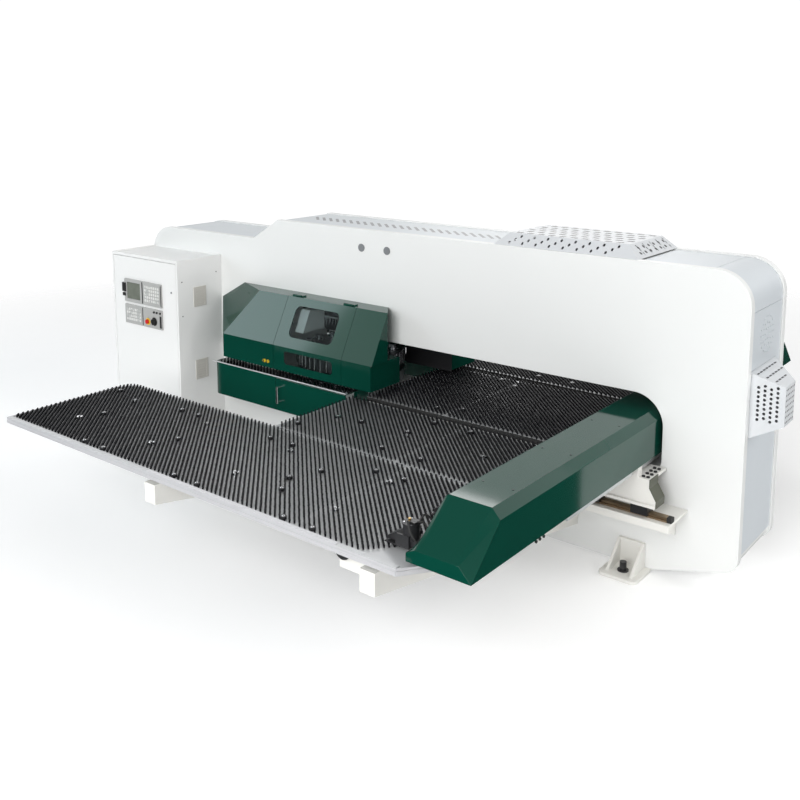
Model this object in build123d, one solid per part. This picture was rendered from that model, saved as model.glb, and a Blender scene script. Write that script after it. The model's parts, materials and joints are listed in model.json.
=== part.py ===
from build123d import *
import math
import os

# Main frame: a bridge of two profile plates, the beam side at +X, the operator side at -Y
frame_length = 5608
frame_thick = 675
frame_top = 2030
frame_step = 180
frame_bottom = 15
frame_plate = 60
step_from_left = 1380
step_run = 293
corner_right_r = 220
corner_left_r = 250
toe_r = 100
toe_run = 564
toe_rise = 157
throat_from_left = 1604
throat_from_right = 511
throat_bottom = 700
throat_top = 1180
throat_r = 200
throat_bed_r = 60

# Skin panels between the plates
panel_recess = 14
panel_thick = 6
panel_gap = 4
panel_seam_from_top = 254
panel_seam_from_right = 254
slot_length = 190
slot_width = 14
slot_pitch = 76
slot_margin = 110
slot_angle = 45
grid_radius = 118
grid_pitch = 38
grid_hole_r = 7
grid_from_seam = 172
plug_r = 31
plug_thick = 5
plug_x = (-200, 55)
plug_from_top = 143

# Ram drive hood on the top
hood_length = 1080
hood_from_right = 724
hood_front = 320
hood_height = 78
hood_back = 310
hood_slope_left = 80
hood_slope_right = 105
hood_slope_front = 95
hood_slope_back = 25
hood_end_holes = 5
hood_wall = 4
hole_r = 9
hood_hole_pitch = 104
hood_hole_row = 20

# Vent box on the column's end
vent_depth = 202
vent_front = 274
vent_back = 206
vent_tip_back = -96
vent_low = 1005
vent_high = 1418
vent_tip_low = 1125
vent_tip_high = 1368
vent_wall = 4
vent_hole_rows = 8
vent_hole_columns = 4
vent_hole_margin = 45

# Feet
foot_x = (-1640, 2122)
foot_width = 264
foot_reach = 239
foot_plate = 25
foot_height = 190
foot_rib = 40
foot_back = 24
foot_r = 40
bolt_r = 22
bolt_height = 62
bolt_hole_r = 24
bolt_washer_r = 36
bolt_washer = 8

# Table levels
table_z = 780
plate_thick = 6
brush_height = 20
brush_pitch = 53
brush_width = 22
brush_base = 3
ball_r = 16
ball_seat_r = 22
ball_seat = 12

# Moving wing tables
wing_left = -1679
wing_right = 1872
wing_front = 2501
wing_back = 1445
wing_tail = 2010
wing_chamfer = 190
wing_corner_r = 120
rim_height = 35
rim_thick = 8
rim_ledge = 34
wing_brush_right = 1740
wing_ball_shares = ((0.12, 0.3), (0.12, 0.75), (0.36, 0.3), (0.36, 0.75), (0.6, 0.3), (0.6, 0.75),
                    (0.84, 0.3), (0.84, 0.75))

# Fixed centre tables
centre_left = -60
centre_right = 2230
centre_front = 1440
throat_table_left = 10
throat_rib_y = 250
saddle_slot = 575
saddle_slot_width = 94
centre_ball_shares = ((0.1, 0.5), (0.37, 0.5), (0.64, 0.5), (0.9, 0.5))

# Carriage beam and its cover
cover_left = 1885
cover_right = 2270
cover_bottom = 803
cover_top = 1087
cover_top_left = 1969
cover_top_right = 2222
cover_left_crease = 1072
cover_left_knee = 848
cover_left_crease_x = 1946
cover_tip_left = 1941
cover_tip_right = 2199
cover_tip_top = 876
cover_tip_step = 20
clamp_slot_top = 860
clamp_slot_end = 2380
cover_right_crease = 1036
cover_tip = 2439
cover_ridge = 2193
cover_wall = 4
cover_rib_y = (-1500, 0, 1500)
beam_left = 1985
beam_right = 2205
beam_top = 1040
beam_end = 2180
beam_wall = 11
clamp_rail_z = 905
clamp_rail_high = 50
clamp_rail_thick = 24
hanger_y = (1700,)
hanger_width = 110
hanger_low = 712
hanger_thick = 16
hanger_pad = 130

# Guide rails on shelves along the frame's faces
shelf_left = 330
shelf_right = 2480
shelf_reach = 302
shelf_top = 490
shelf_thick = 20
shelf_lip = 50
gusset_height = 190
gusset_thick = 16
gusset_x = (480, 1400, 1890, 2400)
rail_y = 575
rail_width = 44
rail_height = 32
rail_left = 360
rail_right = 2450
block_length = 110
block_width = 92
block_rise = 70
block_clear = 0.3

# Saddles between the rails and the beam
saddle_left = 1900
saddle_right = 2334
saddle_knee = 680
saddle_web = 60
saddle_flange = 20
saddle_spread = 45
saddle_top = 735
saddle_neck_right = 2260
saddle_face_gap = 13
guard_thick = 4
guard_width = 125

# Support arms under the wings
arm_x = (-77, 1673)
arm_width = 100
arm_tip_y = 2480
arm_tip_low = 575
arm_tip_top = 700
arm_root_low = 180
arm_root_top = 430
arm_rise_start = 720
arm_rise_end = 850
arm_middle_top = 735
arm_step_y = 1445
arm_step_run = 30
roller_x = 1450
roller_r = 55
roller_width = 34
roller_y = 2400
roller_pin_r = 12
roller_bore_clear = 0.1
roller_clear = 0.3
roller_plate = 12
roller_plate_half = 48
roller_plate_drop = 120

# Turret
turret_x = -615
turret_r = 450
turret_pitch_r = 370
turret_low_top = 795
turret_low_thick = 80
turret_high_bottom = 850
turret_high_thick = 120
turret_shaft_r = 130
turret_bearing_r = 190
turret_clear = 0.4
station_count = 16
tool_clear = 0.2
punch_r = 42
punch_stem_r = 24
punch_head_r = 34
punch_drop = 35
punch_rise = 42
punch_head = 16
die_r = 44
die_bore_r = 16
die_rise = 2
ram_r = 48
ram_bore_clear = 0.4
ram_gap = 38
ram_in_frame = 260

# Turret covers
hide_left = -1835
hide_right = 190
hide_top = 1450
hide_top_depth = 160
hide_crease = 1078
hide_depth = 347
hide_bottom = 880
hide_rear_bottom = 816
hide_box_right = 178
hide_left_crease = -1446
hide_left_top = -1186
hide_left_back = 1290
hide_chamfer = -139
hide_wall = 4
door_left = -845
door_right = -115
door_gap = 3
window_left = -720
window_right = -253
window_top = 1390
window_bottom = 1157
window_r = 50
slit_left = -725
slit_right = -207
slit_top = 1044
slit_bottom = 940
slit_r = 26
glass_thick = 3
glass_edge = 24
guard_box_left = -690
guard_box_right = -600
guard_box_low = 1190
guard_box_high = 1360
guard_box_reach = 250
guard_box_top_share = 0.68
guard_hollow_share = 0.97
guard_arm_right = -280
guard_arm_thick = 25
hinge_r = 9
hinge_length = 90
hinge_clear = 0.3

# Lower turret covers
base_cover_left = -1673
base_cover_right = -140
base_cover_y = 605
base_cover_bottom = 502
base_cover_seam = -908
base_cover_wall = 6
base_cover_r = 70
base_shelf_depth = 140
handle_x = -850
handle_low = 576
handle_high = 715
handle_r = 9
handle_reach = 40
pivot_r = 8
pivot_clear = 0.3

# Control cabinet
cabinet_left = -2765
cabinet_right = -1847
cabinet_front = 826
cabinet_height = 1667
cabinet_wall = 20
cabinet_plinth = 80
cabinet_rim = 26
cabinet_door_thick = 22
screen_left = -2580
screen_right = -2320
screen_low = 1233
screen_high = 1440
keys_right = -2059
unit_thick = 14
glass_left = -2545
glass_right = -2355
glass_low = 1262
glass_high = 1412
panel_low = 1037
panel_high = 1209
panel_split = -2325
stop_x = -2249
stop_z = 1091
stop_r = 20
stop_stem_r = 11
stop_cap = 12
press_travel = 6
ring_r = 30
ring_thick = 3
knob_x = -2164
knob_z = 1100
knob_r = 25
knob_height = 20
knob_clear = 0.3
button_x = (-2162, -2123, -2077)
button_z = 1184
button_r = 9
button_height = 9
key_size = 22
key_pitch = 30
key_height = 4
grille_half_y = 68
grille_half_z = 87
grille_z = (1330, 680)
grille_y = 590
grille_thick = 6
grille_slats = 7

# Clamps on the beam
clamp_y = (-2286, -1890, -1495)
clamp_half = 52
carriage_front = -2320
carriage_back = -1450
carriage_left = 1825
carriage_low = 812
carriage_high = 915
carriage_leg = 34
carriage_clear = 0.4
clamp_left = 1740
clamp_high = 905
clamp_low = 804
jaw_tip = 1670
jaw_low_thick = 6
jaw_mouth = 8
jaw_thick = 26
jaw_pivot_x = 1772
jaw_pivot_rise = 30
jaw_half = 38
jaw_clear = 0.4
jaw_pin_r = 9
jaw_pin_clear = 0.3
jaw_nose_share = 0.4

# Cuts run past the faces that they open
overrun = 20

# Positions that follow from the sizes
half_length = frame_length / 2
frame_low_top = frame_top - frame_step
panel_seam_z = frame_top - panel_seam_from_top
grid_z = panel_seam_z - grid_from_seam
hood_right = half_length - hood_from_right
hood_left = hood_right - hood_length
face_y = frame_thick / 2
brush_top = table_z + brush_height
clamp_rail_left = beam_left - clamp_rail_thick
beam_bottom = cover_bottom + 3 * cover_wall
ram_x = turret_x + turret_pitch_r
hide_y = face_y + hide_depth
hide_top_y = face_y + hide_top_depth


def block(x_low, x_high, y_low, y_high, z_low, z_high):
    """A box between two corners."""
    middle = Pos((x_low + x_high) / 2, (y_low + y_high) / 2, (z_low + z_high) / 2)
    return middle * Box(x_high - x_low, y_high - y_low, z_high - z_low)


def outline(points, axis, level=0):
    """A flat face across one axis, from points in the other two."""
    across = {
        "x": lambda a, b: (level, a, b),
        "y": lambda a, b: (a, level, b),
        "z": lambda a, b: (a, b, level),
    }
    place = across[axis]
    return make_face(Polyline(*[place(a, b) for a, b in points], close=True))


def prism(points, axis, low, high):
    """A closed outline drawn out along one axis."""
    along = {"x": (1, 0, 0), "y": (0, 1, 0), "z": (0, 0, 1)}
    return extrude(outline(points, axis, low), amount=high - low, dir=along[axis])


def rounded(face, spots, radius):
    """Round the corners of a face that lie nearest to the spots."""
    corners = [face.vertices().sort_by_distance(Vector(*spot))[0] for spot in spots]
    return fillet(corners, radius)


def rod(radius, start, end):
    """A round bar from one point to another."""
    line = Vector(*end) - Vector(*start)
    seat = Plane(origin=start, z_dir=line)
    return extrude(seat * Circle(radius), amount=line.length)


def frustum(low_points, high_points):
    """A solid between two four-sided outlines."""
    ends = [make_face(Polyline(*points, close=True)) for points in (low_points, high_points)]
    return loft(ends)


def rear(shape):
    """The same piece on the far side of the frame."""
    return mirror(shape, about=Plane.XZ)


def both(shape):
    """The piece and its twin on the far side."""
    return Compound([*shape.solids(), *rear(shape).solids()])


def group(shapes):
    """Separate solids in one node."""
    return Compound([solid for shape in shapes for solid in shape.solids()])


def frame_outline(inset):
    """The frame's side view, drawn in by an inset."""
    step_low = -half_length + step_from_left
    step_high = step_low + step_run
    toe_z = frame_bottom + toe_rise
    face = outline(
        [
            (-half_length, frame_bottom),
            (-half_length, frame_low_top),
            (step_low, frame_low_top),
            (step_high, frame_top),
            (half_length, frame_top),
            (half_length, toe_z),
            (half_length - toe_run, frame_bottom),
        ],
        "y",
    )
    face = rounded(face, [(half_length, 0, frame_top)], corner_right_r)
    face = rounded(face, [(-half_length, 0, frame_low_top)], corner_left_r)
    face = rounded(face, [(half_length, 0, toe_z)], toe_r)
    return offset(face, amount=-inset, kind=Kind.INTERSECTION) if inset else face


def slab(face, y_low, y_high):
    """A side-view face drawn out through the frame's thickness."""
    return extrude(Pos(0, y_low, 0) * face, amount=y_high - y_low, dir=(0, 1, 0))


def throat_cut():
    """The window that the sheet passes through."""
    left = -half_length + throat_from_left
    right = half_length - throat_from_right
    spots = [(x, z) for x in (left, right) for z in (throat_bottom, throat_top)]
    face = outline([spots[0], spots[1], spots[3], spots[2]], "y")
    face = rounded(face, [(x, 0, throat_top) for x in (left, right)], throat_r)
    face = rounded(face, [(x, 0, throat_bottom) for x in (left, right)], throat_bed_r)
    return slab(face, -face_y - overrun, face_y + overrun)


def main_frame():
    """Two profile plates and the box between them, with the throat and the ram's bore."""
    inner = face_y - frame_plate
    plate = frame_outline(0)
    body = slab(plate, -face_y, -inner) + slab(plate, inner, face_y)
    body += slab(frame_outline(panel_recess), -inner, inner)
    bore = rod(ram_r + ram_bore_clear, (ram_x, 0, throat_top - overrun),
               (ram_x, 0, throat_top + ram_in_frame))
    return body - throat_cut() - bore


def skin():
    """The sheet that lines the recess round the frame's edge."""
    inner = face_y - frame_plate - panel_gap
    band = slab(frame_outline(panel_recess - panel_thick), -inner, inner)
    return band - slab(frame_outline(panel_recess), -inner - overrun, inner + overrun)


def skin_piece(band, x_low, x_high, z_low, z_high):
    """One sheet cut from the skin between its seams."""
    return band & block(x_low, x_high, -frame_thick, frame_thick, z_low, z_high)


def slots(x_low, x_high):
    """Slanted slots along a deck."""
    count = int((x_high - x_low - 2 * slot_margin) / slot_pitch)
    cutter = Box(slot_length, slot_width, frame_top)
    return [
        Pos(x_low + slot_margin + slot_pitch * (step + 1 / 2), 0, frame_top) * Rot(0, 0, -slot_angle) * cutter
        for step in range(count)
    ]


def hood():
    """A folded hood with pierced walls, open below."""
    high = frame_top + hood_height

    def ring(inset, z, lean):
        left = hood_left + inset + lean * hood_slope_left
        right = hood_right - inset - lean * hood_slope_right
        front = -hood_front + inset + lean * hood_slope_front
        back = hood_back - inset - lean * hood_slope_back
        return [(left, front, z), (right, front, z), (right, back, z), (left, back, z)]

    shell = frustum(ring(0, frame_top, 0), ring(0, high, 1))
    shell -= frustum(ring(hood_wall, frame_top - hood_wall, 0), ring(hood_wall, high - hood_wall, 1))
    middle = frame_top + hood_height / 2
    count = int((hood_right - hood_left - hood_slope_left - hood_slope_right) / hood_hole_pitch)
    for row in (-1, 0, 1):
        z = middle + row * hood_hole_row
        for step in range(count):
            x = hood_left + hood_slope_left + hood_hole_pitch * (step + (row + 2) / 3)
            shell -= rod(hole_r, (x, -hood_front - overrun, z),
                         (x, -hood_front + hood_slope_front + overrun, z))
        for step in range(hood_end_holes):
            y = -hood_front + hood_slope_front + hood_hole_pitch * (step + 1 / 2)
            shell -= rod(hole_r, (hood_right - hood_slope_right - overrun, y, z),
                         (hood_right + overrun, y, z))
    return shell


def vent_box():
    """A pierced box on the column's end, flat in front and tapering outwards."""
    root, tip = half_length - panel_recess, half_length + vent_depth

    def ring(inset, x, back, low, high):
        front, side, bottom, top = -vent_front + inset, back - inset, low + inset, high - inset
        return [(x, front, bottom), (x, side, bottom), (x, side, top), (x, front, top)]

    shell = frustum(ring(0, root, vent_back, vent_low, vent_high),
                    ring(0, tip, vent_tip_back, vent_tip_low, vent_tip_high))
    shell -= frustum(
        ring(vent_wall, root - vent_wall, vent_back, vent_low, vent_high),
        ring(vent_wall, tip - vent_wall, vent_tip_back, vent_tip_low, vent_tip_high),
    )
    middle = (vent_tip_low + vent_tip_high) / 2
    pitch_x = (vent_depth - 2 * vent_hole_margin) / (vent_hole_columns - 1)
    pitch_z = (vent_tip_high - vent_tip_low - vent_hole_margin) / (vent_hole_rows - 1)
    for column in range(vent_hole_columns):
        for row in range(vent_hole_rows):
            x = half_length + vent_hole_margin + column * pitch_x
            z = middle + (row - (vent_hole_rows - 1) / 2 + (column % 2) / 2 - 1 / 4) * pitch_z
            shell -= rod(hole_r, (x, -vent_front - overrun, z), (x, -vent_front + overrun, z))
    return shell


def grid_holes():
    """Holes in rings, over a round patch of the side skin."""
    rings = int(grid_radius / grid_pitch)
    drills = []
    for ring in range(1, rings + 1):
        count = 6 * ring
        for step in range(count):
            angle = 2 * math.pi * step / count
            y = ring * grid_pitch * math.cos(angle)
            z = grid_z + ring * grid_pitch * math.sin(angle)
            drills.append(rod(grid_hole_r, (half_length - panel_recess - overrun, y, z), (half_length, y, z)))
    return drills


def foot(x):
    """A welded foot on the frame's face, with a plate, two ribs and a back."""
    left, right = x - foot_width / 2, x + foot_width / 2
    front = -face_y - foot_reach
    sole = outline([(left, front), (right, front), (right, -face_y), (left, -face_y)], "z")
    sole = rounded(sole, [(left, front, 0), (right, front, 0)], foot_r)
    body = extrude(sole, amount=foot_plate, dir=(0, 0, 1))
    rib = [(-face_y, foot_plate), (front + foot_r, foot_plate), (-face_y - foot_back, foot_height),
           (-face_y, foot_height)]
    for start in (left + foot_r, right - foot_r - foot_rib / 2):
        body += prism(rib, "x", start, start + foot_rib / 2)
    body += block(left + foot_r, right - foot_r, -face_y - foot_back, -face_y, foot_plate, foot_height)
    return body - rod(bolt_hole_r, (x, foot_bolt_y(), -overrun), (x, foot_bolt_y(), foot_plate + overrun))


def foot_bolt_y():
    """Where the levelling bolt stands in a foot."""
    return -face_y - foot_reach / 2 - foot_back / 2


def levelling_bolt(x):
    """A bolt through the foot with a washer on the plate."""
    y = foot_bolt_y()
    body = rod(bolt_r, (x, y, 0), (x, y, foot_plate + bolt_height))
    return body + rod(bolt_washer_r, (x, y, foot_plate), (x, y, foot_plate + bolt_washer))


def brush_mat(x_low, x_high, y_low, y_high):
    """Brush rows laid at 45 degrees on a thin backing."""
    field = block(x_low, x_high, y_low, y_high, table_z, brush_top)
    diagonal = math.hypot(x_high - x_low, y_high - y_low)
    count = int(diagonal / brush_pitch) + 1
    start = -count * brush_pitch / 2
    base = table_z + brush_base
    points = [(start, table_z)]
    for step in range(count):
        left = start + step * brush_pitch
        points += [(left, base), (left + brush_pitch - brush_width, base)]
        points += [(left + brush_pitch - brush_width, brush_top), (left + brush_pitch, brush_top)]
    points.append((start + count * brush_pitch, table_z))
    comb = prism(points, "y", -diagonal / 2, diagonal / 2)
    middle = Pos((x_low + x_high) / 2, (y_low + y_high) / 2, 0)
    return middle * Rot(0, 0, 45) * comb & field


def ball_transfer(x, y):
    """A steel ball in a round seat, level with the brush tops."""
    seat = rod(ball_seat_r, (x, y, table_z + brush_base), (x, y, table_z + brush_base + ball_seat))
    ball = Pos(x, y, brush_top - ball_r) * Sphere(ball_r)
    keep = block(x - ball_r, x + ball_r, y - ball_r, y + ball_r, table_z + brush_base, brush_top)
    return seat + (ball & keep)


def spots(x_low, x_high, y_low, y_high, shares):
    """Places on a table by shares of its width and depth."""
    return [(x_low + (x_high - x_low) * a, y_low + (y_high - y_low) * b) for a, b in shares]


def wing_outline(inset):
    """The front wing table's plan."""
    face = outline(
        [
            (wing_left, -wing_front),
            (wing_right, -wing_front),
            (wing_tail, -wing_front + wing_chamfer),
            (wing_tail, -wing_back),
            (wing_left, -wing_back),
        ],
        "z",
        table_z,
    )
    face = rounded(face, [(wing_left, -wing_back, table_z)], wing_corner_r)
    return offset(face, amount=-inset, kind=Kind.INTERSECTION) if inset else face


def wing_plate():
    """A tray with a turned-down rim and a raised front ledge."""
    body = extrude(wing_outline(0), amount=-plate_thick, dir=(0, 0, 1))
    rim = extrude(wing_outline(0), amount=-rim_height, dir=(0, 0, 1))
    rim -= extrude(wing_outline(rim_thick), amount=-2 * rim_height, dir=(0, 0, 1))
    rim -= block(wing_right - rim_thick, wing_tail + overrun, -wing_front + rim_thick, -wing_back + overrun,
                 table_z - 2 * rim_height, table_z + overrun)
    ledge = block(wing_left, wing_right, -wing_front, -wing_front + rim_ledge, table_z, table_z + rim_thick)
    return body + rim + ledge


def wing_brush():
    """The brush field of the front wing."""
    front = -wing_front + rim_ledge + rim_thick
    mat = brush_mat(wing_left + rim_thick, wing_brush_right, front, -wing_back - rim_thick)
    corner = extrude(wing_outline(rim_thick), amount=brush_height, dir=(0, 0, 1))
    return mat & corner


def beam_cover():
    """A faceted folded cover with sloped noses, open below and towards the clamps."""
    opening = block(cover_left - overrun, beam_left, -clamp_slot_end, clamp_slot_end,
                    cover_bottom - overrun, clamp_slot_top)
    body = cover_hull(0) - cover_hull(cover_wall) - opening
    for y in cover_rib_y:
        body += block(beam_left, beam_right, y - cover_wall, y + cover_wall, beam_top,
                      cover_top - cover_wall / 2)
    return body


def beam():
    """The box beam inside the cover."""
    body = block(beam_left, beam_right, -beam_end, beam_end, beam_bottom, beam_top)
    hollow = block(beam_left + beam_wall, beam_right - beam_wall, -beam_end - overrun, beam_end + overrun,
                   beam_bottom + beam_wall, beam_top - beam_wall)
    return body - hollow


def wing_hanger(y):
    """A bracket that carries the wing's plate from the beam."""
    low, high = y - hanger_width / 2, y + hanger_width / 2
    plate_low = table_z - plate_thick
    rim_low = table_z - rim_height - panel_gap
    pad_right = wing_tail - 2 * rim_thick - panel_gap
    web_left = wing_tail + panel_gap
    side = [
        (pad_right - hanger_pad, hanger_low),
        (beam_right, hanger_low),
        (beam_right, cover_bottom - hanger_thick / 2),
        (web_left, cover_bottom - hanger_thick / 2),
        (web_left, rim_low),
        (pad_right - hanger_pad, rim_low),
    ]
    body = prism(side, "y", y - hanger_thick / 2, y + hanger_thick / 2)
    body += block(pad_right - hanger_pad, pad_right, low, high, rim_low - hanger_thick, plate_low)
    return body + block(web_left, beam_right, low, high, cover_bottom - hanger_thick / 2, beam_bottom)


def rail_shelf():
    """A shelf along the frame's face, with a lip and gussets."""
    front = -face_y - shelf_reach
    body = block(shelf_left, shelf_right, front, -face_y, shelf_top - shelf_thick, shelf_top)
    body += block(shelf_left, shelf_right, front, front + shelf_thick, shelf_top - shelf_lip, shelf_top)
    rib = [(front + shelf_thick, shelf_top - shelf_lip), (-face_y, shelf_top - gusset_height),
           (-face_y, shelf_top - shelf_thick), (front + shelf_thick, shelf_top - shelf_thick)]
    for x in gusset_x:
        body += prism(rib, "x", x - gusset_thick / 2, x + gusset_thick / 2)
    return body


def guide_rail():
    """A guide rail with waisted sides."""
    half, waist = rail_width / 2, rail_width / 3
    section = [
        (-rail_y - half, shelf_top),
        (-rail_y + half, shelf_top),
        (-rail_y + half, shelf_top + rail_height / 3),
        (-rail_y + waist, shelf_top + rail_height / 2),
        (-rail_y + half, shelf_top + rail_height * 2 / 3),
        (-rail_y + half, shelf_top + rail_height),
        (-rail_y - half, shelf_top + rail_height),
        (-rail_y - half, shelf_top + rail_height * 2 / 3),
        (-rail_y - waist, shelf_top + rail_height / 2),
        (-rail_y - half, shelf_top + rail_height / 3),
    ]
    return prism(section, "x", rail_left, rail_right)


def bearing_block(x):
    """A runner on the rail."""
    top = shelf_top + block_rise
    half = block_width / 2
    body = block(x - block_length / 2, x + block_length / 2, -rail_y - half, -rail_y + half,
                 shelf_top + rail_height / 2, top)
    groove = block(x - block_length, x + block_length, -rail_y - rail_width / 2 - block_clear,
                   -rail_y + rail_width / 2 + block_clear, shelf_top, shelf_top + rail_height + block_clear)
    return body - groove


def saddle():
    """A web that widens towards its foot, with a flange beside the frame and a neck up to the beam."""
    low = shelf_top + block_rise
    front, back = -saddle_slot - saddle_web / 2, -saddle_slot + saddle_web / 2
    web = [
        (saddle_left - saddle_spread, low),
        (saddle_right + saddle_spread, low),
        (saddle_right + saddle_spread, low + saddle_spread),
        (saddle_right, saddle_knee),
        (saddle_right, saddle_top),
        (saddle_neck_right, saddle_top),
        (saddle_neck_right, beam_bottom),
        (beam_left, beam_bottom),
        (beam_left, saddle_top),
        (saddle_left, saddle_top),
        (saddle_left, saddle_knee),
        (saddle_left - saddle_spread, low + saddle_spread),
    ]
    body = prism(web, "y", front, back)
    body += block(saddle_left - saddle_spread, saddle_right + saddle_spread, -rail_y - block_width / 2,
                  -rail_y + block_width / 2, low, low + saddle_flange)
    return body + block(saddle_left, saddle_right, front, -face_y - saddle_face_gap,
                        saddle_top - saddle_flange, saddle_top)


def saddle_guard():
    """A folded guard over the saddle's outer end."""
    low = shelf_top + block_rise
    edge = [
        (saddle_right, saddle_top),
        (saddle_right, saddle_knee),
        (saddle_right + saddle_spread, low + saddle_spread),
        (saddle_right + saddle_spread, low),
    ]
    back = [(x + guard_thick, z) for x, z in reversed(edge)]
    front = -saddle_slot - saddle_web / 2
    return prism(edge + back, "y", front, front + guard_width)


def support_arm(x, pad_low, pad_high):
    """A tapered arm from the frame's foot out under the tables, with a pad for the fixed table."""
    neck = arm_step_y - arm_step_run
    side = [
        (-face_y, arm_root_low),
        (-face_y, arm_root_top),
        (-arm_rise_start, arm_root_top),
        (-arm_rise_end, arm_middle_top),
        (-neck, arm_middle_top),
        (-arm_step_y, arm_tip_top),
        (-arm_tip_y, arm_tip_top),
        (-arm_tip_y, arm_tip_low),
    ]
    body = prism(side, "x", x - arm_width / 2, x + arm_width / 2)
    return body + block(pad_low, pad_high, -neck, -arm_rise_end, arm_middle_top, table_z - plate_thick)


def roller_centre_z():
    """The roller runs just under the wing's plate."""
    return table_z - plate_thick - roller_r - roller_clear


def roller_bracket():
    """A plate from the arm that carries the roller's pin."""
    z = roller_centre_z()
    back = -roller_y + roller_width / 2 + roller_clear
    arm_side = arm_x[1] - arm_width / 2
    top = arm_tip_top
    plate = block(roller_x - roller_plate_half, arm_side, back, back + roller_plate, z - roller_plate_drop,
                  top)
    plate += block(roller_x - roller_plate_half, roller_x + roller_plate_half, back, back + roller_plate,
                   z - roller_plate_drop, z + roller_pin_r)
    return plate + rod(roller_pin_r, (roller_x, -roller_y - roller_width / 2, z),
                       (roller_x, back + roller_plate, z))


def roller():
    """A support roller that the wing runs on."""
    z = roller_centre_z()
    wheel = rod(roller_r, (roller_x, -roller_y - roller_width / 2, z),
                (roller_x, -roller_y + roller_width / 2, z))
    bore = rod(roller_pin_r + roller_bore_clear, (roller_x, -roller_y - roller_width, z),
               (roller_x, -roller_y + roller_width, z))
    return wheel - bore


def station_places():
    """The tool stations round the turret."""
    turn = 2 * math.pi / station_count
    return [
        (turret_x + turret_pitch_r * math.cos(step * turn), turret_pitch_r * math.sin(step * turn))
        for step in range(station_count)
    ]


def upper_turret():
    """The upper disc, bored for the punches, with its shaft."""
    low, high = turret_high_bottom, turret_high_bottom + turret_high_thick
    disc = rod(turret_r, (turret_x, 0, low), (turret_x, 0, high))
    disc += rod(turret_shaft_r, (turret_x, 0, high), (turret_x, 0, throat_top - turret_clear))
    for x, y in station_places():
        disc -= rod(punch_r + tool_clear, (x, y, low - overrun), (x, y, high + overrun))
    return disc


def upper_bearing():
    """A ring on the throat's roof round the upper shaft."""
    low = throat_top - turret_high_thick / 2
    ring = rod(turret_bearing_r, (turret_x, 0, low), (turret_x, 0, throat_top))
    return ring - rod(turret_shaft_r + turret_clear, (turret_x, 0, low - overrun),
                      (turret_x, 0, throat_top + overrun))


def punch(x, y):
    """A punch holder with a stem and a striking head."""
    low, high = turret_high_bottom, turret_high_bottom + turret_high_thick
    body = rod(punch_r, (x, y, low - punch_drop / 2), (x, y, high))
    body += rod(punch_stem_r, (x, y, low - punch_drop), (x, y, high + punch_rise))
    return body + rod(punch_head_r, (x, y, high + punch_rise - punch_head), (x, y, high + punch_rise))


def lower_turret():
    """The lower disc, bored for the dies, with its shaft."""
    low, high = turret_low_top - turret_low_thick, turret_low_top
    disc = rod(turret_r, (turret_x, 0, low), (turret_x, 0, high))
    disc += rod(turret_shaft_r, (turret_x, 0, throat_bottom + turret_clear), (turret_x, 0, low))
    for x, y in station_places():
        disc -= rod(die_r + tool_clear, (x, y, low - overrun), (x, y, high + overrun))
    return disc


def lower_bearing():
    """A ring on the throat's floor round the lower shaft."""
    high = turret_low_top - turret_low_thick - turret_clear
    ring = rod(turret_bearing_r, (turret_x, 0, throat_bottom), (turret_x, 0, high))
    return ring - rod(turret_shaft_r + turret_clear, (turret_x, 0, throat_bottom - overrun),
                      (turret_x, 0, high + overrun))


def die(x, y):
    """A die ring in the lower turret."""
    low, high = turret_low_top - turret_low_thick, turret_low_top + die_rise
    body = rod(die_r, (x, y, low), (x, y, high))
    return body - rod(die_bore_r, (x, y, low - overrun), (x, y, high + overrun))


def ram():
    """The striker above the punching station."""
    low = turret_high_bottom + turret_high_thick + punch_rise + ram_gap
    return rod(ram_r, (ram_x, 0, low), (ram_x, 0, throat_top + ram_in_frame - ram_gap))


def hide_shell(low=hide_bottom):
    """The turret cover as one folded shell, open at the back and below."""
    return hide_solid(0, low) - hide_solid(hide_wall, low)


def slope_window(x_low, x_high, z_low, z_high, radius, y_low, y_high):
    """A rounded opening seen square on from the front."""
    face = outline([(x_low, z_low), (x_high, z_low), (x_high, z_high), (x_low, z_high)], "y", y_low)
    spots_at = [(x, y_low, z) for x in (x_low, x_high) for z in (z_low, z_high)]
    return extrude(rounded(face, spots_at, radius), amount=y_high - y_low, dir=(0, 1, 0))


def window_cut():
    """The door's upper window."""
    return slope_window(window_left, window_right, window_bottom, window_top, window_r, -hide_y - overrun,
                        -face_y)


def slit_cut():
    """The door's lower window."""
    return slope_window(slit_left, slit_right, slit_bottom, slit_top, slit_r, -hide_y - overrun, -face_y)


def hinge_place():
    """The turret door's hinge line, just above the cover's top fold."""
    return (-hide_top_y + hinge_r, hide_top + hinge_r + hinge_clear)


def door_top_edge():
    """Where the door's top fold ends behind the hinge line."""
    return -hide_top_y + 2 * hinge_r


def turret_door():
    """The lift-up door with two windows and two hinge knuckles."""
    body = hide_shell() & block(door_left, door_right, -hide_y - overrun, door_top_edge(), 0, frame_top)
    y, z = hinge_place()
    for x in (door_left + hinge_length, door_right - hinge_length):
        body += rod(hinge_r, (x - hinge_length / 2, y, z), (x - hinge_clear, y, z))
        body += block(x - hinge_length / 2, x - hinge_clear, y - hinge_r, y + hinge_r, hide_top - hide_wall,
                      z)
    return body - window_cut() - slit_cut()


def door_glass():
    """Clear panes behind both windows."""
    shell = hide_solid(hide_wall) - hide_solid(hide_wall + glass_thick)
    upper = block(window_left - glass_edge, window_right + glass_edge, -hide_y, -face_y,
                  window_bottom - glass_edge,
                  window_top + glass_edge)
    lower = block(slit_left - glass_edge, slit_right + glass_edge, -hide_y, -face_y, slit_bottom - glass_edge,
                  slit_top + glass_edge / 3)
    return group([shell & upper, shell & lower])


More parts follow.
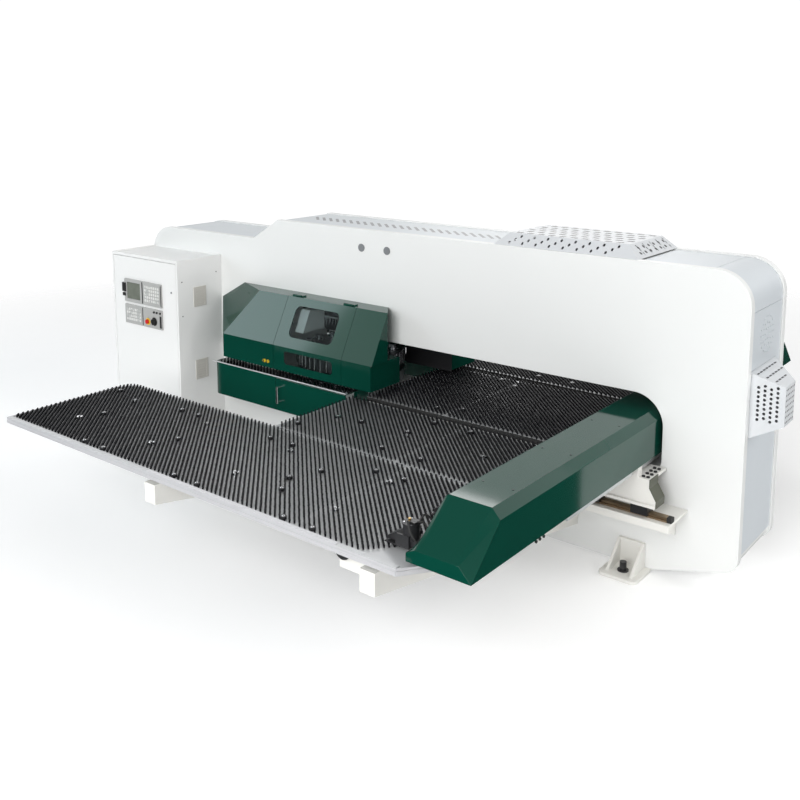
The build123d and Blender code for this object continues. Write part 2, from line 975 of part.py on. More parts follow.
def base_cover():
    """The fixed half of the lower cover, with its bent end, the shelf for the brush and the door's post."""
    front, back, inside = -base_cover_y, -face_y, base_cover_wall
    plan = outline([(base_cover_left, back), (base_cover_left, front), (base_cover_seam, front),
                    (base_cover_seam, front + inside), (base_cover_left + inside, front + inside),
                    (base_cover_left + inside, back)], "z", base_cover_bottom)
    plan = rounded(plan, [(base_cover_left, front, base_cover_bottom)], base_cover_r)
    plan = rounded(plan, [(base_cover_left + inside, front + inside, base_cover_bottom)],
                   base_cover_r - inside)
    body = extrude(plan, amount=table_z - base_cover_bottom, dir=(0, 0, 1))
    level = table_z - plate_thick
    deep = front + base_shelf_depth
    shelf = outline([(base_cover_left, back), (base_cover_left, front), (base_cover_right, front),
                     (base_cover_right, deep), (base_cover_left + base_shelf_depth, deep),
                     (base_cover_left + base_shelf_depth, back)], "z", level)
    shelf = rounded(shelf, [(base_cover_left, front, level)], base_cover_r)
    body += extrude(shelf, amount=plate_thick, dir=(0, 0, 1))
    x, y = lower_pivot()
    body += block(x - 2 * pivot_r, base_cover_right, deep - plate_thick, back, base_cover_bottom, table_z)
    body += rod(pivot_r, (x, y, base_cover_bottom), (x, y, base_cover_bottom + 8 * pivot_r))
    return body + block(x - pivot_r, x + pivot_r, y, deep, base_cover_bottom,
                        base_cover_bottom + 4 * pivot_r - pivot_clear)


def lower_pivot():
    """The lower door's hinge line, behind its right edge."""
    return (base_cover_right - 2 * pivot_r, -base_cover_y + base_cover_wall + 2 * pivot_r)


def lower_door():
    """A flat door with a knuckle behind its right edge."""
    x, y = lower_pivot()
    bottom = base_cover_bottom + 4 * pivot_r
    top = table_z - plate_thick - panel_gap
    front = -base_cover_y
    panel = block(base_cover_seam + panel_gap, base_cover_right, front, front + base_cover_wall,
                  base_cover_bottom, top)
    knuckle = block(x - 2 * pivot_r, x + 2 * pivot_r, front + base_cover_wall, y + 2 * pivot_r, bottom,
                    bottom + 8 * pivot_r)
    bore = rod(pivot_r + pivot_clear, (x, y, bottom - overrun), (x, y, bottom + 4 * pivot_r + pivot_clear))
    return panel + knuckle - bore


def door_handle():
    """A bow handle on the lower door."""
    front = -base_cover_y
    grip_y = front - handle_reach
    body = rod(handle_r, (handle_x, grip_y, handle_low), (handle_x, grip_y, handle_high))
    for z in (handle_low + handle_r, handle_high - handle_r):
        body += rod(handle_r, (handle_x, grip_y, z), (handle_x, front, z))
    return body


def rear_base_cover():
    """The rear lower cover in one bent sheet, with its shelf."""
    front, back = -base_cover_y, -face_y
    inside = base_cover_wall
    plan = outline([(base_cover_left, back), (base_cover_left, front), (base_cover_right, front),
                    (base_cover_right, front + inside), (base_cover_left + inside, front + inside),
                    (base_cover_left + inside, back)], "z", base_cover_bottom)
    plan = rounded(plan, [(base_cover_left, front, base_cover_bottom)], base_cover_r)
    plan = rounded(plan, [(base_cover_left + inside, front + inside, base_cover_bottom)],
                   base_cover_r - inside)
    wall = extrude(plan, amount=table_z - base_cover_bottom, dir=(0, 0, 1))
    shelf = block(base_cover_left + base_cover_r, base_cover_right, front, front + base_shelf_depth,
                  table_z - plate_thick, table_z)
    return rear(wall + shelf)


def strip_mat():
    """The brush strip above the lower cover."""
    return brush_mat(base_cover_left + base_cover_r, base_cover_right, -base_cover_y + rim_thick,
                     -base_cover_y + base_shelf_depth)


def cabinet_shell():
    """A cabinet open in front, with a rim round its top and two hinge lugs inside."""
    front, back = -cabinet_front, -face_y
    body = block(cabinet_left, cabinet_right, front, back, 0, cabinet_height)
    body -= block(cabinet_left + cabinet_wall, cabinet_right - cabinet_wall, front - overrun,
                  back - cabinet_wall,
                  cabinet_plinth, cabinet_height - cabinet_rim)
    body -= block(cabinet_left + cabinet_wall / 2, cabinet_right - cabinet_wall / 2, front + cabinet_wall / 2,
                  back - cabinet_wall / 2, cabinet_height - cabinet_wall / 2, cabinet_height + overrun)
    x, y = cabinet_pivot()
    for z in (cabinet_height / 4, cabinet_height * 3 / 4):
        body += block(cabinet_left + cabinet_wall, x + pivot_r, y + pivot_clear, y + 4 * pivot_r, z,
                      z + 4 * pivot_r)
    return body


def cabinet_door():
    """The front door, set into the shell."""
    front = -cabinet_front
    inset = cabinet_wall + panel_gap
    return block(cabinet_left + inset, cabinet_right - inset, front, front + cabinet_door_thick,
                 cabinet_plinth + panel_gap, cabinet_height - cabinet_rim - panel_gap)


def cabinet_pivot():
    """The back of the cabinet door's left edge, where the hinge lugs stand."""
    return (cabinet_left + cabinet_wall + panel_gap, -cabinet_front + cabinet_door_thick)


def face_unit(x_low, x_high, z_low, z_high, radius):
    """A flat unit with rounded corners on the cabinet door."""
    front = -cabinet_front - unit_thick
    face = outline([(x_low, z_low), (x_high, z_low), (x_high, z_high), (x_low, z_high)], "y", front)
    face = rounded(face, [(x, front, z) for x in (x_low, x_high) for z in (z_low, z_high)], radius)
    return extrude(face, amount=unit_thick, dir=(0, 1, 0))


def screen_bezel():
    """The display's frame with a recess for its glass."""
    body = face_unit(screen_left, screen_right, screen_low, screen_high, unit_thick / 2)
    front = -cabinet_front - unit_thick
    return body - block(glass_left, glass_right, front - overrun, front + unit_thick / 2, glass_low,
                        glass_high)


def screen_glass():
    """The display's glass in its recess."""
    front = -cabinet_front - unit_thick
    edge = panel_gap / 2
    return block(glass_left + edge, glass_right - edge, front + glass_thick, front + unit_thick / 2,
                 glass_low + edge, glass_high - edge)


def keypad(x_low, x_high, z_low, z_high):
    """A unit with rows of keys."""
    body = face_unit(x_low, x_high, z_low, z_high, unit_thick / 2)
    front = -cabinet_front - unit_thick
    columns = int((x_high - x_low - key_pitch) / key_pitch)
    rows = int((z_high - z_low - key_pitch) / key_pitch)
    middle_x, middle_z = (x_low + x_high) / 2, (z_low + z_high) / 2
    for column in range(columns):
        for row in range(rows):
            x = middle_x + (column - (columns - 1) / 2) * key_pitch
            z = middle_z + (row - (rows - 1) / 2) * key_pitch
            half = key_size / 2
            body += block(x - half, x + half, front - key_height, front, z - half, z + half)
    return body


def button_panel():
    """The plate that holds the buttons, bored for their stems."""
    body = face_unit(panel_split + panel_gap, keys_right, panel_low, panel_high, unit_thick / 2)
    front = -cabinet_front - unit_thick
    body += rod(ring_r, (stop_x, front - ring_thick, stop_z), (stop_x, front, stop_z))
    for x, z, radius in button_bores():
        body -= rod(radius + knob_clear, (x, front - overrun, z),
                    (x, front + unit_thick / 2 + press_travel, z))
    return body


def button_bores():
    """Each stem's place and radius on the button panel."""
    bores = [(x, button_z, button_r) for x in button_x]
    return bores + [(stop_x, stop_z, stop_stem_r)]


def stop_button():
    """A mushroom stop button on its stem."""
    front = -cabinet_front - unit_thick - ring_thick - press_travel - knob_clear
    stem = rod(stop_stem_r, (stop_x, front, stop_z),
               (stop_x, front + press_travel + ring_thick + unit_thick / 4, stop_z))
    cap = rod(stop_r, (stop_x, front - stop_cap, stop_z), (stop_x, front, stop_z))
    return stem + cap


def push_button(x):
    """A round push button."""
    front = -cabinet_front - unit_thick - press_travel - knob_clear
    return rod(button_r, (x, front - button_height / 3, button_z),
               (x, front + press_travel + unit_thick / 4, button_z))


def turn_knob():
    """A knob with a pointer rib on the panel's face."""
    front = -cabinet_front - unit_thick - knob_clear
    body = rod(knob_r, (knob_x, front - knob_height, knob_z), (knob_x, front, knob_z))
    rib = knob_r / 4
    return body + block(knob_x - rib, knob_x + rib, front - knob_height - rib, front - knob_height,
                        knob_z - knob_r, knob_z + knob_r)


def vent_grille(z):
    """A slatted vent plate on the cabinet's right side."""
    x = cabinet_right
    body = block(x, x + grille_thick, -grille_y - grille_half_y, -grille_y + grille_half_y,
                 z - grille_half_z, z + grille_half_z)
    pitch = 2 * grille_half_z / (grille_slats + 1)
    for step in range(grille_slats):
        level = z - grille_half_z + pitch * (step + 1)
        body -= block(x + grille_thick / 2, x + grille_thick + overrun, -grille_y - grille_half_y + pitch,
                      -grille_y + grille_half_y - pitch, level - pitch / 4, level + pitch / 4)
    return body


def clamp_carriage():
    """The angle section that carries the clamps along the beam's rail."""
    right = clamp_rail_left - carriage_clear
    section = [
        (carriage_left, carriage_low),
        (right, carriage_low),
        (right, carriage_high),
        (right - carriage_leg, carriage_high),
        (right - carriage_leg, carriage_low + carriage_leg),
        (carriage_left, carriage_low + carriage_leg),
    ]
    return prism(section, "y", carriage_front, carriage_back)


def clamp_body(y):
    """A clamp with its fixed lower jaw and a clevis for the upper one."""
    base = clamp_low
    mouth = base + jaw_low_thick + jaw_mouth
    side = [
        (jaw_tip, base),
        (carriage_left, base),
        (carriage_left, clamp_high),
        (jaw_pivot_x - jaw_thick, clamp_high),
        (clamp_left, mouth + jaw_thick),
        (clamp_left, base + jaw_low_thick),
        (jaw_tip, base + jaw_low_thick),
    ]
    body = prism(side, "y", y - clamp_half, y + clamp_half)
    slot_low, slot_high = y - jaw_half - jaw_clear, y + jaw_half + jaw_clear
    stop = jaw_pivot_x + 2 * jaw_pin_r + jaw_clear
    body -= block(clamp_left - overrun, stop, slot_low, slot_high, base + jaw_low_thick, clamp_high + overrun)
    x, z = jaw_pivot()
    return body + rod(jaw_pin_r, (x, y - clamp_half, z), (x, y + clamp_half, z))


def jaw_pivot():
    """The jaws' pivot line in a clamp."""
    return (jaw_pivot_x, clamp_low + jaw_low_thick + jaw_mouth + jaw_pivot_rise)


def clamp_jaw(y):
    """An upper jaw that closes on the sheet."""
    x, z = jaw_pivot()
    low = clamp_low + jaw_low_thick + jaw_mouth
    side = [
        (jaw_tip, low),
        (x, low + jaw_mouth),
        (x + jaw_pin_r, z + jaw_pin_r),
        (x - jaw_thick, z + jaw_thick),
        (jaw_tip, low + jaw_thick * jaw_nose_share),
    ]
    body = prism(side, "y", y - jaw_half, y + jaw_half)
    body += rod(2 * jaw_pin_r, (x, y - jaw_half, z), (x, y + jaw_half, z))
    return body - rod(jaw_pin_r + jaw_pin_clear, (x, y - clamp_half, z), (x, y + clamp_half, z))


def throat_table():
    """The table in the throat, with two ribs that stand on the bed."""
    edge = saddle_slot - saddle_slot_width / 2
    body = table_tray(throat_table_left, -edge, edge)
    for side in (-1, 1):
        y = side * throat_rib_y
        body += block(throat_table_left + rim_height, centre_right - rim_height, y - rim_thick, y + rim_thick,
                      throat_bottom, table_z - plate_thick)
    return body


def table_tray(left, y_low, y_high):
    """A flat table with turned-down edges."""
    body = block(left, centre_right, y_low, y_high, table_z - rim_height, table_z)
    inner = block(left + rim_thick, centre_right - rim_thick, y_low + rim_thick, y_high - rim_thick,
                  table_z - rim_height - overrun, table_z - plate_thick)
    return body - inner


def cover_rings(inset):
    """The beam cover's section along the beam and at its tip, drawn in by a wall."""
    left, right, low = cover_left + inset, cover_right - inset, cover_bottom - (overrun if inset else 0)
    ridge, tip = cover_ridge, cover_tip - inset
    section = [
        (left, low),
        (left, cover_left_knee),
        (cover_left_crease_x + inset, cover_left_crease - inset),
        (cover_top_left, cover_top - inset),
        (cover_top_right, cover_top - inset),
        (right, cover_right_crease - inset),
        (right, low),
    ]
    lip = [
        (left, low),
        (left, cover_left_knee - inset),
        (cover_tip_left, cover_tip_top - inset),
        (cover_tip_left + cover_tip_step, cover_tip_top - inset),
        (cover_tip_right - cover_tip_step, cover_tip_top - inset),
        (cover_tip_right, cover_tip_top - inset),
        (right, low),
    ]
    return section, lip, ridge, tip


def cover_hull(inset):
    """The cover's outer or inner form: a straight run between two sloped noses."""
    section, lip, ridge, tip = cover_rings(inset)
    body = prism(section, "y", -ridge, ridge)
    for side in (-1, 1):
        ends = [outline(section, "y", side * ridge), outline(lip, "y", side * tip)]
        body += loft(ends, ruled=True)
    return body


def rail_buffer():
    """A rubber buffer on the shelf at the rail's outer end."""
    half = rail_width / 2
    return block(rail_right, shelf_right, -rail_y - half, -rail_y + half, shelf_top, shelf_top + rail_height)


def hide_planes():
    """The planes that end the turret cover: the left hip, the wall below it and the right chamfer."""
    crease = Vector(hide_left_crease, -hide_y, hide_crease)
    top = Vector(hide_left_top, -hide_top_y, hide_top)
    back = Vector(hide_left, -face_y, hide_left_back)
    inward = (back - crease).cross(top - crease)
    hip = Plane(origin=crease, z_dir=inward)
    wall = Plane(origin=crease, z_dir=(back.Y - crease.Y, crease.X - back.X, 0))
    cut = Vector(hide_top_y - hide_y, hide_chamfer, 0)
    chamfer = Plane(origin=(hide_right, -hide_top_y, hide_crease), z_dir=cut)
    return hip, wall, chamfer


def hide_solid(inset, low=hide_bottom):
    """The turret cover's outer form, or its hollow when drawn in by a wall."""
    hip, wall, chamfer = hide_planes()
    back = -face_y + (overrun if inset else 0)
    bottom = low - (overrun if inset else 0)
    slope = math.atan2(hide_top - hide_crease, hide_y - hide_top_y)
    start = -hide_y + inset / math.sin(slope)
    end = start + (hide_top - inset - hide_crease) / math.tan(slope)
    upper = prism(
        [(back, hide_crease - inset), (start, hide_crease - inset), (start, hide_crease),
         (end, hide_top - inset),
         (back, hide_top - inset)] if inset else
        [(back, hide_crease), (start, hide_crease), (end, hide_top), (back, hide_top)],
        "x", hide_left + inset, hide_right - inset,
    )
    upper = split(upper, bisect_by=hip.offset(inset), keep=Keep.TOP)
    upper = split(upper, bisect_by=wall.offset(inset), keep=Keep.TOP)
    upper = split(upper, bisect_by=chamfer.offset(inset), keep=Keep.TOP)
    lower = block(hide_left + inset, hide_box_right - inset, -hide_y + inset, back, bottom,
                  hide_crease - inset)
    lower = split(lower, bisect_by=wall.offset(inset), keep=Keep.TOP)
    return upper + lower


def hide_fixed_right():
    """The right cover with the strip behind the door and its hinge leaves."""
    shell = hide_shell()
    y, z = hinge_place()
    edge = door_top_edge() + door_gap
    far = hide_right + overrun
    body = shell & block(door_right + door_gap, far, -hide_y - overrun, 0, 0, frame_top)
    body += shell & block(door_left, door_right + 2 * door_gap, edge, 0, hide_crease, frame_top)
    for x in (door_left + hinge_length, door_right - hinge_length):
        body += rod(hinge_r, (x + hinge_clear, y, z), (x + hinge_length / 2, y, z))
        body += block(x + hinge_clear, x + hinge_length / 2, y, edge + hinge_length / 2, z - hinge_r / 2, z)
        body += block(x + hinge_clear, x + hinge_length / 2, edge, edge + hinge_length / 2,
                      hide_top - hide_wall, z)
    return body


def tool_guard():
    """A bent bracket on the frame's face, seen through the upper window."""
    side = [
        (-face_y, guard_box_low),
        (-face_y - guard_box_reach, guard_box_low),
        (-face_y - guard_box_reach * guard_box_top_share, guard_box_high),
        (-face_y, guard_box_high),
    ]
    body = prism(side, "x", guard_box_left, guard_box_right)
    hollow = [(y * guard_hollow_share, z) for y, z in side]
    body -= prism([(-face_y - guard_thick,
                    guard_box_low - overrun)] + hollow[1:3] + [(-face_y - guard_thick, guard_box_high)],
                  "x", guard_box_left + guard_thick, guard_box_right - guard_thick)
    return body + block(guard_box_left, guard_arm_right, -face_y - guard_box_reach / 3, -face_y,
                        guard_box_high,
                        guard_box_high + guard_arm_thick)


def build():
    """Every piece by its name."""
    band = skin()
    step_high = -half_length + step_from_left + step_run
    seam_x = half_length - panel_seam_from_right
    low_panel = skin_piece(band, -half_length + corner_left_r, step_high - panel_gap,
                           frame_low_top - corner_left_r, frame_top)
    right_panel = skin_piece(band, hood_right + panel_gap, seam_x, panel_seam_z, frame_top)
    tread = skin_piece(band, step_high, hood_left - panel_gap, panel_seam_z, frame_top)
    for cutter in slots(step_high, hood_left):
        tread -= cutter
    corner = skin_piece(band, seam_x + panel_gap, half_length, panel_seam_z + panel_gap, frame_top)
    column = skin_piece(band, half_length - corner_right_r, half_length, toe_rise + toe_r, panel_seam_z)
    column -= block(half_length - corner_right_r, half_length, -vent_front - panel_gap, vent_back + panel_gap,
                    vent_low - panel_gap, vent_high + panel_gap)
    for drill in grid_holes():
        column -= drill
    left_end = skin_piece(band, -half_length, -half_length + corner_left_r - panel_gap, toe_rise,
                          frame_low_top)
    plug_z = frame_top - plug_from_top
    plugs = [rod(plug_r, (x, -face_y - plug_thick, plug_z), (x, -face_y, plug_z)) for x in plug_x]
    feet = group([foot(x) for x in foot_x])
    bolts = group([levelling_bolt(x) for x in foot_x])
    pads = ((centre_left + 2 * rim_thick, arm_x[0] + arm_width / 2),
            (arm_x[1] - arm_width / 2 + rim_thick, arm_x[1] + arm_width / 2 - rim_thick))
    left_arm = support_arm(arm_x[0], *pads[0])
    right_arm = support_arm(arm_x[1], *pads[1]) + roller_bracket()
    slot_edge = saddle_slot + saddle_slot_width / 2
    throat_edge = saddle_slot - saddle_slot_width / 2
    front_table = table_tray(centre_left, -centre_front, -slot_edge)
    edge = rim_thick
    front_mat = brush_mat(centre_left + edge, centre_right - edge, -centre_front + edge, -slot_edge - edge)
    middle_mat = brush_mat(throat_table_left + edge, centre_right - edge, -throat_edge + edge,
                           throat_edge - edge)
    wing_balls = spots(wing_left, wing_brush_right, -wing_front, -wing_back, wing_ball_shares)
    table_balls = spots(centre_left, centre_right, -centre_front, -slot_edge, centre_ball_shares)
    wing_transfers = group([ball_transfer(x, y) for x, y in wing_balls])
    table_transfers = group([ball_transfer(x, y) for x, y in table_balls])
    wing_field = wing_brush()
    for x, y in wing_balls:
        wing_field -= rod(ball_seat_r, (x, y, table_z + brush_base), (x, y, brush_top + overrun))
    for x, y in table_balls:
        front_mat -= rod(ball_seat_r, (x, y, table_z + brush_base), (x, y, brush_top + overrun))
    hangers = group([wing_hanger(-y) for y in hanger_y])
    blocks_at = (saddle_left + block_length / 2, saddle_right - block_length / 2)
    left_shell = hide_shell() & block(hide_left - overrun, door_left - door_gap, -hide_y - overrun, 0, 0,
                                      frame_top)
    keypads = [keypad(screen_right + panel_gap, keys_right, screen_low, screen_high),
               keypad(screen_left, panel_split, panel_low, panel_high)]
    pieces = {
        "main_frame": main_frame() + upper_bearing() + lower_bearing(),
        "skin_panels": group([low_panel, right_panel, corner, column, left_end]),
        "tread_plate": tread,
        "ram_drive_hood": hood(),
        "side_vent_box": vent_box(),
        "face_plugs": group(plugs),
        "foot_brackets": both(feet),
        "levelling_bolts": both(bolts),
        "rail_shelves": both(rail_shelf()),
        "guide_rails": both(guide_rail()),
        "rail_buffers": both(rail_buffer()),
        "support_arms": both(group([left_arm, right_arm])),
        "front_roller": roller(),
        "rear_roller": rear(roller()),
        "centre_tables": group([front_table, throat_table(), rear(front_table)]),
        "centre_brushes": group([front_mat, middle_mat, rear(front_mat), strip_mat(), rear(strip_mat())]),
        "table_ball_transfers": both(table_transfers),
        "turret_cover_left": left_shell,
        "turret_cover_right": hide_fixed_right(),
        "turret_cover_rear": rear(hide_shell(hide_rear_bottom)),
        "tool_guard": tool_guard(),
        "turret_door": turret_door(),
        "door_windows": door_glass(),
        "lower_cover_front": base_cover(),
        "lower_cover_rear": rear_base_cover(),
        "lower_door": lower_door(),
        "door_handle": door_handle(),
        "upper_turret": upper_turret(),
        "punch_tools": group([punch(x, y) for x, y in station_places()]),
        "lower_turret": lower_turret(),
        "die_tools": group([die(x, y) for x, y in station_places()]),
        "ram": ram(),
        "cabinet_shell": cabinet_shell(),
        "cabinet_door": cabinet_door(),
        "screen_bezel": screen_bezel(),
        "screen_glass": screen_glass(),
        "keypads": group(keypads),
        "button_panel": button_panel(),
        "stop_button": stop_button(),
        "turn_knob": turn_knob(),
        "vent_grilles": group([vent_grille(z) for z in grille_z]),
        "carriage_beam": beam(),
        "beam_cover": beam_cover(),
        "clamp_rail": block(clamp_rail_left, beam_left, -beam_end, beam_end,
                            clamp_rail_z - clamp_rail_high / 2,
                            clamp_rail_z + clamp_rail_high / 2),
        "saddles": both(saddle()),
        "saddle_guards": both(saddle_guard()),
        "bearing_blocks": both(group([bearing_block(x) for x in blocks_at])),
        "wing_hangers": both(hangers),
        "wing_plates": both(wing_plate()),
        "wing_brushes": both(wing_field),
        "wing_ball_transfers": both(wing_transfers),
        "clamp_carriage": clamp_carriage(),
        "clamp_bodies": group([clamp_body(y) for y in clamp_y]),
    }
    for number, x in enumerate(button_x, start=1):
        pieces[f"push_button_{number}"] = push_button(x)
    for number, y in enumerate(clamp_y, start=1):
        pieces[f"clamp_jaw_{number}"] = clamp_jaw(y)
    return pieces


def write(pieces):
    """Centre the part over its own floor box and write one file for each piece."""
    os.makedirs("parts", exist_ok=True)
    shift = Pos(-vent_depth / 2, 0, 0)
    for name, piece in pieces.items():
        solids = [shift * solid for solid in piece.solids()]
        export_step(solids[0] if len(solids) == 1 else Compound(solids), f"parts/{name}.step")


write(build())
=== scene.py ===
"""Looks of a turret punch press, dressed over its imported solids."""
import json
import logging
import math
from dataclasses import dataclass
from enum import Enum
from typing import Callable, Sequence

import bmesh
import bpy
from mathutils import Matrix, Vector

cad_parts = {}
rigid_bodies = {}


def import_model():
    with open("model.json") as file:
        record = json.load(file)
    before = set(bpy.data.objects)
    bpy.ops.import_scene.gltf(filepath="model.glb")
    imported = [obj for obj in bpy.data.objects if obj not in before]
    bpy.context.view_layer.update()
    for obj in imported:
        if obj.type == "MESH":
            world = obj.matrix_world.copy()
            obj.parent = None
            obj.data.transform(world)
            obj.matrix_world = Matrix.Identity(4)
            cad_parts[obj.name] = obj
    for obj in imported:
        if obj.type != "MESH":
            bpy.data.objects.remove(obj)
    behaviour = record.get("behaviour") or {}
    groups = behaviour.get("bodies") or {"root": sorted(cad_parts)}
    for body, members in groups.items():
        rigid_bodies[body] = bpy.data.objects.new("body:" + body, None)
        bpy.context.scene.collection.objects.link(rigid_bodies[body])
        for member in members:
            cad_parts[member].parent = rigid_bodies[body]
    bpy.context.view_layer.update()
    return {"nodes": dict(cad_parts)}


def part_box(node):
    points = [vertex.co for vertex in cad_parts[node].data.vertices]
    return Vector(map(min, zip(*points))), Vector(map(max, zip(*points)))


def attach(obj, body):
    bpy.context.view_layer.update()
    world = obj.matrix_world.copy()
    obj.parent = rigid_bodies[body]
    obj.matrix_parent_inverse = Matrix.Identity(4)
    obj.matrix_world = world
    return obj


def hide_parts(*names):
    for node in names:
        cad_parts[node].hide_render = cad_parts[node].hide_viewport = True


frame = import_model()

LOG = logging.getLogger("scene")
MM = 0.001
SHIFT_X = 101.0
FLAT_DEG = 0.6
FOLD_DEG = 20.0
HARD_DEG = 40.0
SKIN_SMOOTH_DEG = 50.0
ROUND_PROFILE = 0.5
TUFT_SIDES = 6
TUFT_LEAN = ((-0.09, -0.09, 0.0), (0.09, 0.09, 3.0))
TUFT_GROWTH = ((0.92, 0.92, 0.9), (1.08, 1.08, 1.0))
HEAD_SIDES = 16
Point = tuple[float, float, float]
Flat = tuple[float, float]
Row = tuple[float, ...]
Colour = tuple[float, float, float]


class Body(str, Enum):
    """The moving bodies that pieces ride on."""

    FRAME = "frame"
    CABINET = "cabinet_front"
    CARRIAGE = "carriage"
    CLAMPS = "clamp_slide"
    TURRET_DOOR = "turret_door"
    LOWER_DOOR = "lower_door"
    UPPER_TURRET = "upper_turret"


class Along(Enum):
    """The way a small part points."""

    X = (0.0, math.pi / 2, 0.0)
    FRONT = (math.pi / 2, 0.0, 0.0)
    UP = (0.0, 0.0, 0.0)
    HOOD_END = (0.0, 0.639, 0.0)


def place(x: float, y: float, z: float) -> Vector:
    """Give a point of the shared frame.

    Args:
        x: Millimetres from the bridge frame's middle.
        y: Millimetres from its mid plane.
        z: Millimetres from the floor.

    Returns:
        The same point in metres from the part's origin.
    """
    return Vector(((x - SHIFT_X) * MM, y * MM, z * MM))


class Sock:
    """A node's output that takes part in sums."""

    def __init__(self, graph: "Graph", socket: bpy.types.NodeSocket) -> None:
        """Keep the socket and the graph that it belongs to.

        Args:
            graph: The graph that makes the nodes.
            socket: The output that is wrapped.
        """
        self.graph = graph
        self.socket = socket

    def _join(self, operation: str, first: object, second: object) -> "Sock":
        """Make one maths node.

        Args:
            operation: Blender's name of the operation.
            first: The left value.
            second: The right value.

        Returns:
            The node's result.
        """
        return self.graph.node("ShaderNodeMath", {0: first, 1: second}, operation=operation)

    def __add__(self, other: object) -> "Sock":
        """Add a value or socket and return the result."""
        return self._join("ADD", self, other)

    def __radd__(self, other: object) -> "Sock":
        """Add from the left and return the result."""
        return self._join("ADD", other, self)

    def __sub__(self, other: object) -> "Sock":
        """Take a value or socket away and return the result."""
        return self._join("SUBTRACT", self, other)

    def __rsub__(self, other: object) -> "Sock":
        """Take this from a value and return the result."""
        return self._join("SUBTRACT", other, self)

    def __mul__(self, other: object) -> "Sock":
        """Multiply by a value or socket and return the result."""
        return self._join("MULTIPLY", self, other)

    def __truediv__(self, other: object) -> "Sock":
        """Divide by a value or socket and return the result."""
        return self._join("DIVIDE", self, other)

    def above(self, level: float) -> "Sock":
        """Compare with a level.

        Args:
            level: The level to pass.

        Returns:
            One above the level, and zero below.
        """
        return self._join("GREATER_THAN", self, level)


class Graph:
    """A material's node tree with one way to make nodes."""

    def __init__(self, tree: bpy.types.NodeTree) -> None:
        """Empty the tree.

        Args:
            tree: The tree to build in.
        """
        self.tree = tree
        tree.nodes.clear()

    def node(self, kind: str, inputs: dict | None = None, output: int | str = 0, **settings: object) -> Sock:
        """Make a node.

        Args:
            kind: Blender's node type.
            inputs: Values or sockets by input name or number.
            output: Which output to hand back.
            **settings: Properties of the node.

        Returns:
            The chosen output.
        """
        made = self.tree.nodes.new(kind)
        for key, value in settings.items():
            setattr(made, key, value)
        for key, value in (inputs or {}).items():
            if isinstance(value, Sock):
                self.tree.links.new(value.socket, made.inputs[key])
            else:
                made.inputs[key].default_value = value
        return Sock(self, made.outputs[output]) if made.outputs else Sock(self, made.inputs[0])

    def position(self) -> Sock:
        """Give the object coordinates, which are the shared frame's metres."""
        return self.node("ShaderNodeTexCoord", output="Object")

    def stretched(self, scale: Point) -> Sock:
        """Give object coordinates with a scale along each axis.

        Args:
            scale: The three factors.

        Returns:
            The scaled coordinates.
        """
        return self.node("ShaderNodeMapping", {"Vector": self.position(), "Scale": scale})

    def noise(self, scale: float, detail: float, stretch: Point = (1.0, 1.0, 1.0)) -> Sock:
        """Give a noise value about one half.

        Args:
            scale: Noise cells per metre.
            detail: Octaves.
            stretch: Factors along the axes.

        Returns:
            The noise's value.
        """
        where = self.stretched(stretch)
        return self.node("ShaderNodeTexNoise", {"Vector": where, "Scale": scale, "Detail": detail})

    def axis(self, name: str) -> Sock:
        """Give one object coordinate.

        Args:
            name: X, Y or Z.

        Returns:
            That coordinate in metres.
        """
        return self.node("ShaderNodeSeparateXYZ", {0: self.position()}, output=name)

    def blend(self, share: Sock, low: Colour | Sock, high: Colour | Sock) -> Sock:
        """Mix two colours.

        Args:
            share: How much of the second.
            low: The first colour.
            high: The second colour.

        Returns:
            The mixed colour.
        """
        first, second = ((*c, 1.0) if isinstance(c, tuple) else c for c in (low, high))
        return self.node("ShaderNodeMix", {0: share, 6: first, 7: second}, output=2, data_type="RGBA")

    def bump(self, height: Sock, strength: float, distance: float) -> Sock:
        """Turn a height into a normal.

        Args:
            height: The height value.
            strength: How strong it is.
            distance: Its depth in metres.

        Returns:
            The bent normal.
        """
        return self.node("ShaderNodeBump", {"Height": height, "Strength": strength, "Distance": distance})

    def surface(self, shader: Sock) -> None:
        """Send a shader to the output.

        Args:
            shader: The finished shader.
        """
        self.node("ShaderNodeOutputMaterial", {"Surface": shader})


def toned(colour: Colour, factor: float) -> Colour:
    """Scale a colour.

    Args:
        colour: The colour.
        factor: The factor on each channel.

    Returns:
        The scaled colour, each channel at most one.
    """
    return tuple(min(1.0, c * factor) for c in colour)


@dataclass(frozen=True)
class Finish:
    """A surface finish that makes its own material."""

    name: str
    slot: str
    colour: Colour
    roughness: float = 0.5

    def material(self) -> bpy.types.Material:
        """Give the finish's material, made once."""
        found = bpy.data.materials.get(self.name)
        if found:
            return found
        made = bpy.data.materials.new(self.name)
        made.use_nodes = True
        self.shade(Graph(made.node_tree))
        return made

    def shade(self, graph: Graph) -> None:
        """Build the nodes.

        Args:
            graph: The material's graph.
        """
        raise NotImplementedError


